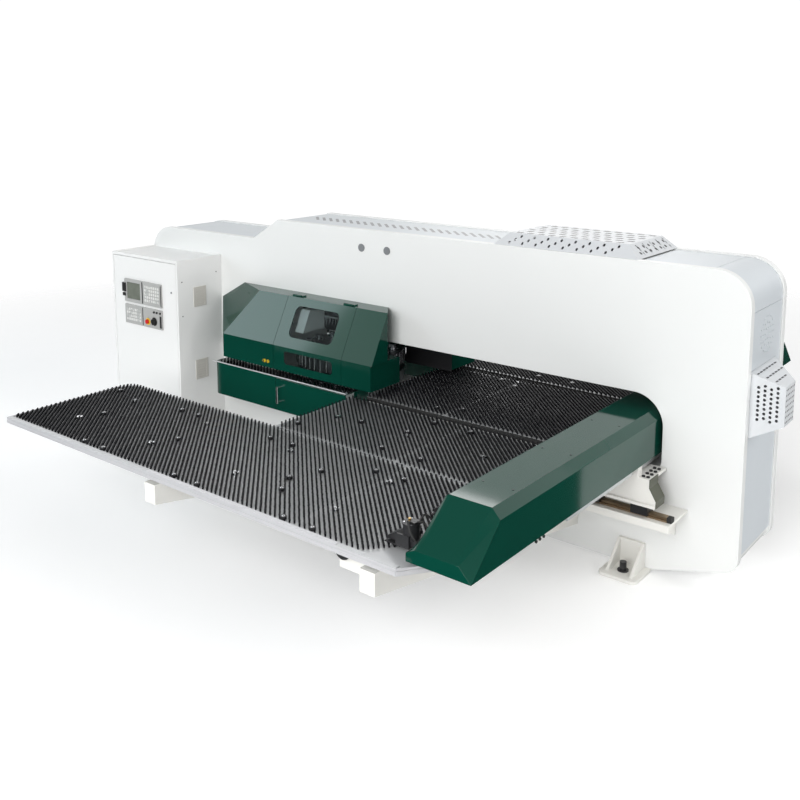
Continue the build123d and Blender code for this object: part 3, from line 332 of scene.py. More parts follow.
@dataclass(frozen=True)
class Paint(Finish):
    """Sprayed paint with a faint orange peel and uneven gloss."""

    coat: float = 0.2
    drift: float = 0.05
    peel: float = 0.02
    shine: float = 0.5
    coat_ior: float = 1.5
    coat_rough: float = 0.09
    broad: Flat = (1.3, 3.0)
    fine: Flat = (420.0, 2.0)
    uneven: Flat = (9.0, 4.0)
    swing: float = 0.12
    peel_deep: float = 0.0004

    def shade(self, graph: Graph) -> None:
        """Build the paint from broad drift, fine peel and a coat.

        Args:
            graph: The material's graph.
        """
        broad = graph.noise(*self.broad)
        fine = graph.noise(*self.fine)
        tint = graph.blend(broad, toned(self.colour, 1 - self.drift), toned(self.colour, 1 + self.drift))
        rough = self.roughness + (graph.noise(*self.uneven) - 0.5) * self.swing
        normal = graph.bump(fine, self.peel, self.peel_deep)
        graph.surface(graph.node("ShaderNodeBsdfPrincipled", {
            "Base Color": tint, "Roughness": rough, "Coat Weight": self.coat, "Normal": normal,
            "Coat Roughness": self.coat_rough, "Coat IOR": self.coat_ior, "Specular IOR Level": self.shine,
        }))


@dataclass(frozen=True)
class Steel(Finish):
    """Bare metal with fine grain along one axis."""

    grain: Point = (1.0, 60.0, 60.0)
    metallic: float = 1.0
    grain_noise: Flat = (30.0, 4.0)
    stain_noise: Flat = (5.0, 4.0)
    grain_share: float = 0.6
    shades: Flat = (0.82, 1.14)
    grain_swing: float = 0.22
    stain_swing: float = 0.12
    relief: Flat = (0.06, 0.0005)

    def shade(self, graph: Graph) -> None:
        """Build the metal from stretched grain and broad stains.

        Args:
            graph: The material's graph.
        """
        grain = graph.noise(*self.grain_noise, self.grain)
        stain = graph.noise(*self.stain_noise)
        share = grain * self.grain_share + stain * (1 - self.grain_share)
        tint = graph.blend(share, *(toned(self.colour, shade) for shade in self.shades))
        rough = self.roughness + (grain - 0.5) * self.grain_swing + (stain - 0.5) * self.stain_swing
        graph.surface(graph.node("ShaderNodeBsdfPrincipled", {
            "Base Color": tint, "Roughness": rough, "Metallic": self.metallic,
            "Normal": graph.bump(grain, *self.relief),
        }))


@dataclass(frozen=True)
class Plastic(Finish):
    """Moulded plastic or rubber with a fine texture."""

    texture: float = 900.0
    shine: float = 0.5
    texture_detail: float = 2.0
    drift_noise: Flat = (14.0, 3.0)
    shades: Flat = (0.85, 1.15)
    swing: float = 0.15
    relief: Flat = (0.12, 0.0003)

    def shade(self, graph: Graph) -> None:
        """Build the plastic from fine texture and a slight drift.

        Args:
            graph: The material's graph.
        """
        grit = graph.noise(self.texture, self.texture_detail)
        drift = graph.noise(*self.drift_noise)
        tint = graph.blend(drift, *(toned(self.colour, shade) for shade in self.shades))
        graph.surface(graph.node("ShaderNodeBsdfPrincipled", {
            "Base Color": tint, "Roughness": self.roughness + (drift - 0.5) * self.swing,
            "Specular IOR Level": self.shine, "Normal": graph.bump(grit, *self.relief),
        }))


@dataclass(frozen=True)
class Keys(Finish):
    """A panel whose raised keys have their own colours."""

    front_m: float = -0.842
    key_colour: Colour = (0.72, 0.72, 0.7)
    other_colour: Colour = (0.5, 0.51, 0.5)
    other_from: float = 0.72
    cells: float = 33.0
    uneven: Flat = (60.0, 2.0)
    swing: float = 0.1

    def shade(self, graph: Graph) -> None:
        """Colour what stands out of the panel, and vary it from key to key.

        Args:
            graph: The material's graph.
        """
        raised = 1.0 - graph.axis("Y").above(self.front_m)
        where = graph.stretched((1.0, 0.0, 1.0))
        cells = graph.node("ShaderNodeTexVoronoi", {"Vector": where, "Scale": self.cells}, output="Color")
        pick = graph.node("ShaderNodeSeparateColor", {0: cells}, output=0).above(self.other_from)
        key = graph.blend(pick, self.key_colour, self.other_colour)
        tint = graph.blend(raised, self.colour, key)
        rough = self.roughness + (graph.noise(*self.uneven) - 0.5) * self.swing
        graph.surface(graph.node("ShaderNodeBsdfPrincipled", {"Base Color": tint, "Roughness": rough}))


@dataclass(frozen=True)
class Pane(Finish):
    """A clear or dark pane."""

    clear: float = 0.6
    tint: Colour = (0.5, 0.5, 0.5)
    haze_noise: Flat = (12.0, 3.0)
    shades: Flat = (0.8, 1.2)
    swing: float = 0.04

    def shade(self, graph: Graph) -> None:
        """Mix a tinted see-through shader with a glossy one.

        Args:
            graph: The material's graph.
        """
        haze = graph.noise(*self.haze_noise)
        through = graph.node("ShaderNodeBsdfTransparent", {"Color": (*self.tint, 1.0)})
        gloss = graph.node("ShaderNodeBsdfPrincipled", {
            "Base Color": graph.blend(haze, *(toned(self.colour, shade) for shade in self.shades)),
            "Roughness": self.roughness + haze * self.swing,
        })
        share = 1.0 - self.clear + (haze - 0.5) * self.swing
        graph.surface(graph.node("ShaderNodeMixShader", {0: share, 1: through, 2: gloss}))


@dataclass(frozen=True)
class PaleFloor(Finish):
    """A matt floor that fades out far from the machine."""

    near: float = 5.5
    far: float = 10.5
    glow: float = 0.2
    shine: float = 0.1
    cloud: Flat = (0.8, 2.0)
    shades: Flat = (0.995, 1.005)

    def shade(self, graph: Graph) -> None:
        """Build the floor with an alpha that falls with distance from the middle.

        Args:
            graph: The material's graph.
        """
        away = graph.node("ShaderNodeVectorMath", {0: graph.position()}, output="Value", operation="LENGTH")
        fade = graph.node("ShaderNodeClamp", {0: (self.far - away) / (self.far - self.near), 1: 0.0, 2: 1.0})
        shades = (toned(self.colour, shade) for shade in self.shades)
        tint = graph.blend(graph.noise(*self.cloud), *shades)
        graph.surface(graph.node("ShaderNodeBsdfPrincipled", {
            "Base Color": tint, "Roughness": self.roughness, "Alpha": fade, "Specular IOR Level": self.shine,
            "Emission Color": (1.0, 1.0, 1.0, 1.0), "Emission Strength": self.glow,
        }))


WHITE = Paint("white_enamel", "white_paint", (0.83, 0.84, 0.83), 0.38, 0.25, 0.015)
# White paint made greyer as painted shade, so the top-lit hood and vent box read darker than the frame.
HOOD = Paint("hood_white_painted_shade", "white_paint", (0.68, 0.7, 0.72), 0.42, 0.15, 0.02)
CREAM = Paint("white_base", "white_paint", (0.82, 0.81, 0.77), 0.45, 0.1, 0.03)
CABINET_WHITE = Paint("cabinet_white", "white_paint", (0.85, 0.85, 0.84), 0.4, 0.15, 0.01)
GRILLE = Paint("grille_grey", "grey_paint", (0.6, 0.58, 0.54), 0.5, 0.05, 0.04)
GREY = Paint("panel_grey", "grey_paint", (0.63, 0.67, 0.7), 0.42, 0.15, 0.04)
# Grey of the face plugs and the cabinet latch; the same grey is the painted shade laid over the tread plate's
# slots.
PLUG = Paint("plug_grey_and_slot_shade", "grey_paint", (0.22, 0.23, 0.24), 0.4, 0.1, 0.05)
GREEN = Paint("cover_green", "green_paint", (0.001, 0.047, 0.031), 0.4, 1.0, 0.1, 0.01, 0.0, 1.46)
OLIVE = Paint("guard_olive", "olive_paint", (0.055, 0.06, 0.034), 0.4, 0.2, 0.08)
RAIL = Steel("guide_rail", "guide_steel", (0.36, 0.27, 0.18), 0.4)
TABLE = Steel("table_plate", "table_steel", (0.64, 0.65, 0.66), 0.42, (40.0, 1.0, 40.0), 0.4)
RIM = Steel("rim_metal", "table_steel", (0.68, 0.68, 0.7), 0.36, (1.0, 40.0, 40.0), 0.3)
TURRET = Steel("turret_metal", "turret_steel", (0.42, 0.43, 0.45), 0.38, (20.0, 20.0, 20.0))
TOOL = Steel("tool_metal", "tool_steel", (0.75, 0.76, 0.78), 0.22, (20.0, 20.0, 2.0))
CHROME = Steel("bright_metal", "handle_chrome", (0.8, 0.81, 0.83), 0.12, (4.0, 4.0, 4.0))
BALL = Steel("ball_metal", "ball_steel", (0.85, 0.86, 0.88), 0.12, (4.0, 4.0, 4.0))
BRASS = Steel("fitting_brass", "handle_chrome", (0.62, 0.42, 0.16), 0.3, (4.0, 4.0, 4.0))
# Black metal of bolts, clamps, seats and screws; the same black is the painted shade in the hood's and vent
# box's openings, under the tread slots, behind the turret window and beside the turret.
DARK = Paint("black_metal_and_painted_shade", "black_steel", (0.02, 0.02, 0.022), 0.4, 0.1, 0.2)
BRUSH = Plastic("bristle_black", "brush_black", (0.008, 0.008, 0.01), 0.6, 500.0, 0.15)
RUBBER = Plastic("buffer_rubber", "black_rubber", (0.02, 0.02, 0.02), 0.7)
BLACK = Plastic("black_moulding", "black_plastic", (0.02, 0.02, 0.02), 0.4)
YELLOW = Plastic("yellow_moulding", "red_plastic", (0.8, 0.55, 0.02), 0.4)
RED = Plastic("red_moulding", "red_plastic", (0.6, 0.015, 0.015), 0.3)
UNIT = Keys("unit_moulding", "unit_plastic", (0.42, 0.42, 0.41), 0.5)
WINDOW = Pane("window_pane", "smoked_window", (0.02, 0.025, 0.025), 0.05, 0.93, (0.72, 0.76, 0.76))
SCREEN = Pane("screen_pane", "screen_glass", (0.17, 0.185, 0.155), 0.12, 0.0, (0.1, 0.1, 0.1))

CAD_FINISHES: dict[Finish, tuple[str, ...]] = {
    WHITE: ("main_frame", "tool_guard"),
    HOOD: ("ram_drive_hood", "side_vent_box"),
    CREAM: ("foot_brackets", "rail_shelves", "support_arms", "wing_hangers", "saddles"),
    CABINET_WHITE: ("cabinet_shell", "cabinet_door"),
    GREY: ("skin_panels", "tread_plate"),
    GRILLE: ("vent_grilles",),
    PLUG: ("face_plugs",),
    GREEN: ("turret_cover_left", "turret_cover_right", "turret_cover_rear", "turret_door",
            "lower_cover_front", "lower_cover_rear", "lower_door", "beam_cover"),
    OLIVE: ("saddle_guards",),
    RAIL: ("guide_rails", "clamp_rail"),
    TABLE: ("centre_tables", "wing_plates"),
    TURRET: ("upper_turret", "lower_turret", "carriage_beam", "front_roller", "rear_roller"),
    TOOL: ("punch_tools", "die_tools", "ram"),
    CHROME: ("door_handle",),
    BALL: ("table_ball_transfers", "wing_ball_transfers"),
    DARK: ("levelling_bolts", "bearing_blocks", "clamp_carriage", "clamp_bodies",
           "clamp_jaw_1", "clamp_jaw_2", "clamp_jaw_3"),
    BRUSH: ("centre_brushes", "wing_brushes"),
    RUBBER: ("rail_buffers",),
    BLACK: ("turn_knob", "push_button_1", "push_button_2", "push_button_3"),
    RED: ("stop_button",),
    UNIT: ("screen_bezel", "keypads", "button_panel"),
    WINDOW: ("door_windows",),
    SCREEN: ("screen_glass",),
}


def keep_result(obj: bpy.types.Object) -> None:
    """Turn what an object's modifiers make into its plain mesh.

    Args:
        obj: The object, left without modifiers.
    """
    graph = bpy.context.evaluated_depsgraph_get()
    graph.update()
    mesh = bpy.data.meshes.new_from_object(obj.evaluated_get(graph), depsgraph=graph)
    obj.modifiers.clear()
    old = obj.data
    obj.data = mesh
    bpy.data.meshes.remove(old)


def freeze_normals(obj: bpy.types.Object) -> None:
    """Keep large faces flat next to eased edges, in the mesh itself.

    Args:
        obj: The piece.
    """
    modifier = obj.modifiers.new("normals", "WEIGHTED_NORMAL")
    modifier.mode, modifier.weight, modifier.keep_sharp = "FACE_AREA", 100, True
    keep_result(obj)


def settle(obj: bpy.types.Object, finish: Finish, body: Body, smooth_deg: float = 35.0,
           weighted: bool = False) -> bpy.types.Object:
    """Finish a new piece: material, shading and body.

    Args:
        obj: The piece, already in place.
        finish: Its finish.
        body: The body that it rides on.
        smooth_deg: Edges under this angle are shaded smooth.
        weighted: Whether large faces keep their own normals.

    Returns:
        The same piece.
    """
    mesh = obj.data
    mesh.materials.clear()
    mesh.materials.append(finish.material())
    mesh.polygons.foreach_set("use_smooth", [True] * len(mesh.polygons))
    mesh.set_sharp_from_angle(angle=math.radians(smooth_deg))
    if weighted:
        freeze_normals(obj)
        mesh = obj.data
    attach(obj, body.value)
    LOG.info("piece %s: %d faces", obj.name, len(mesh.polygons))
    return obj


def linked(name: str, mesh: bpy.types.Mesh) -> bpy.types.Object:
    """Put a mesh into the scene.

    Args:
        name: The object's name.
        mesh: Its mesh.

    Returns:
        The object, at the origin.
    """
    obj = bpy.data.objects.new(name, mesh)
    bpy.context.scene.collection.objects.link(obj)
    return obj


def from_bmesh(name: str, work: bmesh.types.BMesh) -> bpy.types.Object:
    """Turn a working mesh into an object at the origin.

    Args:
        name: The object's name.
        work: The working mesh, which is freed.

    Returns:
        The object, linked to the scene.
    """
    bmesh.ops.recalc_face_normals(work, faces=work.faces)
    mesh = bpy.data.meshes.new(name)
    work.to_mesh(mesh)
    work.free()
    return linked(name, mesh)


def from_points(name: str, points: Sequence[Vector], edges: Sequence[tuple[int, int]]) -> bpy.types.Object:
    """Turn points, and edges between them, into an object at the origin.

    Args:
        name: The object's name.
        points: The points in metres.
        edges: Pairs of point numbers.

    Returns:
        The object, linked to the scene.
    """
    mesh = bpy.data.meshes.new(name)
    mesh.from_pydata(points, edges, [])
    return linked(name, mesh)


def soften(node: str, finish: Finish, body: Body, width_mm: float, segments: int = 2,
           fold: Callable[[bmesh.types.BMesh], None] | None = None) -> bpy.types.Object:
    """Stand a copy with eased edges in for a solid.

    Args:
        node: The solid's name.
        finish: The copy's finish.
        body: The body that it rides on.
        width_mm: How far each edge is eased.
        segments: Faces across an eased edge.
        fold: What to do to the mesh first, if anything.

    Returns:
        The copy.
    """
    work = bmesh.new()
    work.from_mesh(frame["nodes"][node].data)
    bmesh.ops.remove_doubles(work, verts=work.verts, dist=1e-5)
    if fold:
        fold(work)
    bmesh.ops.dissolve_limit(work, angle_limit=math.radians(FLAT_DEG), verts=work.verts, edges=work.edges)
    eased(work, width_mm, segments, FOLD_DEG, ROUND_PROFILE)
    copy = from_bmesh(f"{node}_skin", work)
    settle(copy, finish, body, SKIN_SMOOTH_DEG, True)
    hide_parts(node)
    return copy


def add_box(work: bmesh.types.BMesh, low: Point, high: Point) -> list[bmesh.types.BMVert]:
    """Add a box between two corners.

    Args:
        work: The working mesh.
        low: The low corner in millimetres.
        high: The high corner in millimetres.

    Returns:
        The box's corners.
    """
    first, second = place(*low), place(*high)
    size = second - first
    shift = Matrix.Translation((first + second) / 2) @ Matrix.Diagonal((*size, 1.0))
    return bmesh.ops.create_cube(work, size=1.0, matrix=shift)["verts"]


def add_disc(work: bmesh.types.BMesh, centre: Point, radius: float, depth: float, along: Along,
             sides: int = 24) -> None:
    """Add a round bar or disc.

    Args:
        work: The working mesh.
        centre: Its middle in millimetres.
        radius: Its radius in millimetres.
        depth: Its length in millimetres.
        along: The way it points.
        sides: Faces round it.
    """
    turn = Matrix.Rotation(along.value[1], 4, "Y") @ Matrix.Rotation(along.value[0], 4, "X")
    bmesh.ops.create_cone(work, cap_ends=True, segments=sides, radius1=radius * MM, radius2=radius * MM,
                          depth=depth * MM, matrix=Matrix.Translation(place(*centre)) @ turn)


def add_tube(work: bmesh.types.BMesh, path: Sequence[Point], radius: float, sides: int = 8) -> None:
    """Add a hose along a smoothed path.

    Args:
        work: The working mesh.
        path: Guide points in millimetres.
        radius: The hose's radius in millimetres.
        sides: Faces round it.
    """
    points = [place(*p) for p in path]
    for _ in range(3):
        inner = [q for a, b in zip(points, points[1:]) for q in (a.lerp(b, 0.25), a.lerp(b, 0.75))]
        points = [points[0], *inner, points[-1]]
    turns = [2 * math.pi * step / sides for step in range(sides)]
    spokes = [Vector((math.cos(turn), math.sin(turn), 0.0)) * radius * MM for turn in turns]
    rings = []
    for index, point in enumerate(points):
        way = points[min(index + 1, len(points) - 1)] - points[max(index - 1, 0)]
        aim = way.to_track_quat("Z", "Y")
        rings.append([work.verts.new(point + aim @ spoke) for spoke in spokes])
    for first, second in zip(rings, rings[1:]):
        for s in range(sides):
            work.faces.new((first[s], first[(s + 1) % sides], second[(s + 1) % sides], second[s]))
    work.faces.new(rings[0])
    work.faces.new(rings[-1])


def eased(work: bmesh.types.BMesh, width_mm: float, segments: int = 2, hard_deg: float = HARD_DEG,
          profile: float = 0.0) -> None:
    """Ease every hard edge of a working mesh.

    Args:
        work: The working mesh.
        width_mm: How far.
        segments: Faces across an eased edge.
        hard_deg: The angle over which an edge is hard.
        profile: The eased edge's section, 0.5 for a round one.
    """
    sharp = [e for e in work.edges if e.is_manifold and e.calc_face_angle(0.0) > math.radians(hard_deg)]
    bmesh.ops.bevel(work, geom=sharp, offset=width_mm * MM, segments=segments, affect="EDGES",
                    clamp_overlap=True, profile=profile)


def sided(low: Point, high: Point, side: int) -> tuple[Point, Point]:
    """Keep a box on its side of the mid plane, or mirror it.

    Args:
        low: The low corner.
        high: The high corner.
        side: One to keep it, minus one to mirror it.

    Returns:
        The corners, in order.
    """
    near, far = sorted((low[1] * side, high[1] * side))
    return (low[0], near, low[2]), (high[0], far, high[2])


def box_piece(name: str, finish: Finish, body: Body, boxes: Sequence[tuple[Point, Point]],
              ease_mm: float = 0.0) -> bpy.types.Object:
    """Make one piece of plain boxes.

    Args:
        name: The piece's name.
        finish: Its finish.
        body: The body that it rides on.
        boxes: Each box's low and high corner.
        ease_mm: How far the edges are eased.

    Returns:
        The piece.
    """
    work = bmesh.new()
    for low, high in boxes:
        add_box(work, low, high)
    if ease_mm:
        eased(work, ease_mm)
    return settle(from_bmesh(name, work), finish, body)


def disc_piece(name: str, finish: Finish, body: Body, spots: Sequence[Point], radius: float, depth: float,
               along: Along, sides: int = 24) -> bpy.types.Object:
    """Make one piece of like discs.

    Args:
        name: The piece's name.
        finish: Its finish.
        body: The body that it rides on.
        spots: The discs' middles.
        radius: Their radius.
        depth: Their length.
        along: The way they point.
        sides: Faces round each.

    Returns:
        The piece.
    """
    work = bmesh.new()
    for spot in spots:
        add_disc(work, spot, radius, depth, along, sides)
    return settle(from_bmesh(name, work), finish, body)


class NodeMaker:
    """A Geometry Nodes group that repeats a small part over points or rows."""

    def __init__(self, name: str, values: Sequence[tuple[str, str]]) -> None:
        """Make the group and its named inputs.

        Args:
            name: The group's name.
            values: Each input's name and socket type.
        """
        self.tree = bpy.data.node_groups.new(name, "GeometryNodeTree")
        self.tree.interface.new_socket("Geometry", in_out="INPUT", socket_type="NodeSocketGeometry")
        self.ids = {
            label: self.tree.interface.new_socket(label, in_out="INPUT", socket_type=kind).identifier
            for label, kind in values
        }
        self.tree.interface.new_socket("Geometry", in_out="OUTPUT", socket_type="NodeSocketGeometry")
        self.entry = self.tree.nodes.new("NodeGroupInput")

    def node(self, kind: str, inputs: dict, **settings: object) -> bpy.types.Node:
        """Make a node with its links.

        Args:
            kind: Blender's node type.
            inputs: Values or sockets by input name or number.
            **settings: Properties of the node.

        Returns:
            The node.
        """
        made = self.tree.nodes.new(kind)
        for key, value in settings.items():
            setattr(made, key, value)
        for key, value in inputs.items():
            if isinstance(value, bpy.types.NodeSocket):
                self.tree.links.new(value, made.inputs[key])
            else:
                made.inputs[key].default_value = value
        return made

    def close(self, instances: bpy.types.NodeSocket) -> None:
        """Realize the copies, give them their material and end the group.

        Args:
            instances: The placed copies.
        """
        real = self.node("GeometryNodeRealizeInstances", {"Geometry": instances})
        done = self.node("GeometryNodeSetMaterial",
                         {"Geometry": real.outputs[0], "Material": self.entry.outputs["Material"]})
        self.node("NodeGroupOutput", {"Geometry": done.outputs[0]})

    def apply(self, obj: bpy.types.Object, values: dict[str, object]) -> bpy.types.Object:
        """Run the group on an object and keep the plain mesh.

        Args:
            obj: The object with the points or rows.
            values: The inputs by name.

        Returns:
            The same object with the result as its mesh.
        """
        modifier = obj.modifiers.new("repeat", "NODES")
        modifier.node_group = self.tree
        for label, value in values.items():
            modifier[self.ids[label]] = value
        keep_result(obj)
        return obj


def tuft_group() -> NodeMaker:
    """Make the group that sets tufts along rows.

    Returns:
        The group.
    """
    number = "NodeSocketFloat"
    maker = NodeMaker("tufts", (("Pitch", number), ("Foot", number), ("Tip", number), ("Height", number),
                                ("Seed", "NodeSocketInt"), ("Material", "NodeSocketMaterial")))
    get = maker.entry.outputs
    curve = maker.node("GeometryNodeMeshToCurve", {"Mesh": get["Geometry"]})
    points = maker.node("GeometryNodeResampleCurve", {"Curve": curve.outputs[0], "Length": get["Pitch"]},
                        mode="LENGTH")
    tuft = maker.node("GeometryNodeMeshCone", {
        "Vertices": TUFT_SIDES, "Radius Top": get["Tip"], "Radius Bottom": get["Foot"],
        "Depth": get["Height"],
    }, fill_type="NGON")
    lean, grow = (
        maker.node("FunctionNodeRandomValue", {0: low, 1: high, "Seed": get["Seed"]},
                   data_type="FLOAT_VECTOR")
        for low, high in (TUFT_LEAN, TUFT_GROWTH)
    )
    copies = maker.node("GeometryNodeInstanceOnPoints", {
        "Points": points.outputs[0], "Instance": tuft.outputs["Mesh"], "Rotation": lean.outputs[0],
        "Scale": grow.outputs[0],
    })
    maker.close(copies.outputs[0])
    return maker


def bolt_group() -> NodeMaker:
    """Make the group that sets round heads on points.

    Returns:
        The group.
    """
    maker = NodeMaker("heads", (("Radius", "NodeSocketFloat"), ("Depth", "NodeSocketFloat"),
                                ("Turn", "NodeSocketVector"), ("Material", "NodeSocketMaterial")))
    get = maker.entry.outputs
    points = maker.node("GeometryNodeMeshToPoints", {"Mesh": get["Geometry"]})
    head = maker.node("GeometryNodeMeshCylinder", {
        "Vertices": HEAD_SIDES, "Radius": get["Radius"], "Depth": get["Depth"],
    })
    copies = maker.node("GeometryNodeInstanceOnPoints", {
        "Points": points.outputs[0], "Instance": head.outputs["Mesh"], "Rotation": get["Turn"],
    })
    maker.close(copies.outputs[0])
    return maker


def clip_row(start: Flat, end: Flat, ring: Sequence[Flat]) -> tuple[Flat, Flat] | None:
    """Clip a line to a convex outline.

    Args:
        start: The line's start.
        end: The line's end.
        ring: The outline's corners, counter-clockwise.

    Returns:
        The part inside, or None.
    """
    low, high = 0.0, 1.0
    dx, dy = end[0] - start[0], end[1] - start[1]
    for (ax, ay), (bx, by) in zip(ring, [*ring[1:], ring[0]]):
        nx, ny = ay - by, bx - ax
        gap = nx * (start[0] - ax) + ny * (start[1] - ay)
        slope = nx * dx + ny * dy
        if abs(slope) < 1e-9:
            if gap < 0:
                return None
            continue
        share = -gap / slope
        low, high = (max(low, share), high) if slope > 0 else (low, min(high, share))
    if high - low < 1e-6:
        return None
    return tuple((start[0] + dx * s, start[1] + dy * s) for s in (low, high))


@dataclass
class BrushField:
    """Brush rows at 45 degrees over one or more table panels."""

    name: str
    body: Body
    node: str | None
    panels: Sequence[Sequence[Flat]]
    table_z: float = 780.0
    pitch: float = 26.5
    tuft_pitch: float = 9.0
    foot: float = 4.4
    tip: float = 5.9
    height: float = 19.0
    seed: int = 3
    reach: float = 9000.0
    smooth_deg: float = 30.0

    def rows(self) -> list[tuple[Flat, Flat]]:
        """Lay the rows and clip them to the panels.

        Returns:
            Each row's ends.
        """
        found = []
        side = math.sqrt(0.5)
        out = self.reach * side
        for ring in self.panels:
            marks = [(x + y) * side for x, y in ring]
            first = math.ceil(min(marks) / self.pitch)
            for step in range(first, int(max(marks) / self.pitch) + 1):
                middle = step * self.pitch * side
                row = clip_row((middle + out, middle - out), (middle - out, middle + out), ring)
                if row and math.dist(*row) > 2 * self.tuft_pitch:
                    found.append(row)
        return found

    def build(self, maker: NodeMaker) -> bpy.types.Object:
        """Make the field.

        Args:
            maker: The tuft group.

        Returns:
            The field as one piece.
        """
        corners, edges = [], []
        for row in self.rows():
            corners += [place(x, y, self.table_z) for x, y in row]
            edges.append((len(corners) - 2, len(corners) - 1))
        obj = from_points(self.name, corners, edges)
        maker.apply(obj, {"Pitch": self.tuft_pitch * MM, "Foot": self.foot * MM, "Tip": self.tip * MM,
                          "Height": self.height * MM, "Seed": self.seed, "Material": BRUSH.material()})
        settle(obj, BRUSH, self.body, self.smooth_deg)
        if self.node:
            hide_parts(self.node)
        return obj


def across(panels: Sequence[Sequence[Flat]]) -> list[list[Flat]]:
    """Mirror outlines to the far side and keep their turning sense.

    Args:
        panels: The outlines.

    Returns:
        The mirrored outlines.
    """
    return [[(x, -y) for x, y in reversed(ring)] for ring in panels]


def rectangle(x_low: float, x_high: float, y_low: float, y_high: float) -> list[Flat]:
    """Give a rectangle counter-clockwise.

    Args:
        x_low: Left side.
        x_high: Right side.
        y_low: Front side.
        y_high: Back side.

    Returns:
        Its corners.
    """
    return [(x_low, y_low), (x_high, y_low), (x_high, y_high), (x_low, y_high)]


@dataclass
class Tables:
    """The brush tables: two moving wings and the fixed ones between them."""

    wing_left: float = -1660.0
    wing_right: float = 1740.0
    wing_front: float = -2455.0
    wing_back: float = -1466.0
    wing_seam: float = 1140.0
    front_cut: Flat = (140.0, 155.0)
    back_cuts: tuple[Flat, ...] = ((85.0, 0.0), (20.0, 42.0), (0.0, 100.0))
    table_left: float = -50.0
    table_right: float = 2222.0
    table_front: float = -1422.0
    table_back: float = -624.0
    table_seam: float = 1000.0
    throat_left: float = 18.0
    throat_half: float = 524.0
    throat_seam: float = 730.0
    seam: float = 18.0
    strip: tuple[float, float, float, float] = (-1600.0, -146.0, -597.0, -466.0)
    strip_height: float = 24.0
    seal_low: Flat = (12.0, 746.0)
    seal_high: Flat = (2228.0, 779.5)
    slot_near: float = 528.0
    slot_far: float = 622.0
    seal: float = 2.5

    def wing(self) -> list[list[Flat]]:
        """Outline the front wing's two brush panels.

        Returns:
            The left and the right panel.
        """
        near, far = self.wing_seam - self.seam / 2, self.wing_seam + self.seam / 2
        cut_x, cut_y = self.front_cut
        left = [(self.wing_left, self.wing_front), (near, self.wing_front), (near, self.wing_back)]
        left += [(self.wing_left + x, self.wing_back - y) for x, y in self.back_cuts]
        right = [(far, self.wing_front), (self.wing_right - cut_x, self.wing_front),
                 (self.wing_right, self.wing_front + cut_y), (self.wing_right, self.wing_back),
                 (far, self.wing_back)]
        return [left, right]

    def split(self, left: float, seam: float, front: float, back: float) -> list[list[Flat]]:
        """Outline a fixed table's two brush panels.

        Args:
            left: The table's left side.
            seam: The middle of the seam.
            front: The front side.
            back: The back side.

        Returns:
            The left and the right panel.
        """
        half = self.seam / 2
        return [rectangle(left, seam - half, front, back),
                rectangle(seam + half, self.table_right, front, back)]

    def build(self, maker: NodeMaker) -> None:
        """Make every brush field and the seals.

        Args:
            maker: The tuft group.
        """
        wing = self.wing()
        table = self.split(self.table_left, self.table_seam, self.table_front, self.table_back)
        throat = self.split(self.throat_left, self.throat_seam, -self.throat_half, self.throat_half)
        strip = [rectangle(*self.strip)]
        fields = (
            BrushField("wing_bristles_front", Body.CARRIAGE, "wing_brushes", wing),
            BrushField("wing_bristles_rear", Body.CARRIAGE, None, across(wing)),
            BrushField("table_bristles_front", Body.FRAME, "centre_brushes", table),
            BrushField("table_bristles_rear", Body.FRAME, None, across(table)),
            BrushField("throat_bristles", Body.FRAME, None, throat),
            BrushField("strip_bristles_front", Body.FRAME, None, strip, height=self.strip_height),
            BrushField("strip_bristles_rear", Body.FRAME, None, across(strip), height=self.strip_height),
        )
        for brushes in fields:
            brushes.build(maker)
        self.seals()

    def seals(self) -> None:
        """Lay a dark seal on both turned-down edges of each saddle slot."""
        edges = (self.slot_near, self.slot_far - self.seal)
        (x_low, z_low), (x_high, z_high) = self.seal_low, self.seal_high
        boxes = [((x_low, edge, z_low), (x_high, edge + self.seal, z_high)) for edge in edges]
        box_piece("slot_seals", RUBBER, Body.FRAME, [sided(*box, side) for side in (-1, 1) for box in boxes])


@dataclass
class BallUnits:
    """Small ball units let into the brush fields, a seat with a ball each."""

    seat_r: float = 19.0
    ball_r: float = 12.0
    low: float = 780.0
    high: float = 799.0
    ball_top: float = 804.0
    ease: float = 1.5
    smooth_deg: float = 60.0
    wing_rows: tuple[tuple[float, tuple[float, ...]], ...] = (
        (-2440.0, (-816.0, -608.0, 115.0, 326.0, 1045.0, 1262.0)),
        (-2030.0, (-1197.0, -361.0, 680.0)),
        (-1632.0, (-1560.0, -814.0, -629.0, 106.0, 312.0, 1025.0, 1240.0)),
        (-2180.0, (768.0,)),
        (-1838.0, (760.0,)),
    )
    table_spots: tuple[Flat, ...] = (
        (42.0, -1308.0), (802.0, -1308.0), (1122.0, -1316.0), (374.0, -1012.0), (759.0, -981.0),
        (790.0, -715.0), (1096.0, -714.0), (607.0, -442.0), (782.0, -358.0),
    )

    def build(self) -> None:
        """Make the units of the wings and of the tables, front and rear."""
        wing = [(x, y) for y, row in self.wing_rows for x in row]
        for name, body, spots in (("wing", Body.CARRIAGE, wing),
                                  ("table", Body.FRAME, list(self.table_spots))):
            spots = spots + [(x, -y) for x, y in spots]
            seats, balls = bmesh.new(), bmesh.new()
            for x, y in spots:
                middle = (x, y, (self.low + self.high) / 2)
                add_disc(seats, middle, self.seat_r, self.high - self.low, Along.UP, 20)
                bmesh.ops.create_uvsphere(balls, u_segments=16, v_segments=10, radius=self.ball_r * MM,
                                          matrix=Matrix.Translation(place(x, y, self.ball_top - self.ball_r)))
            eased(seats, self.ease)
            settle(from_bmesh(f"{name}_ball_seats", seats), DARK, body)
            settle(from_bmesh(f"{name}_balls", balls), BALL, body, self.smooth_deg)


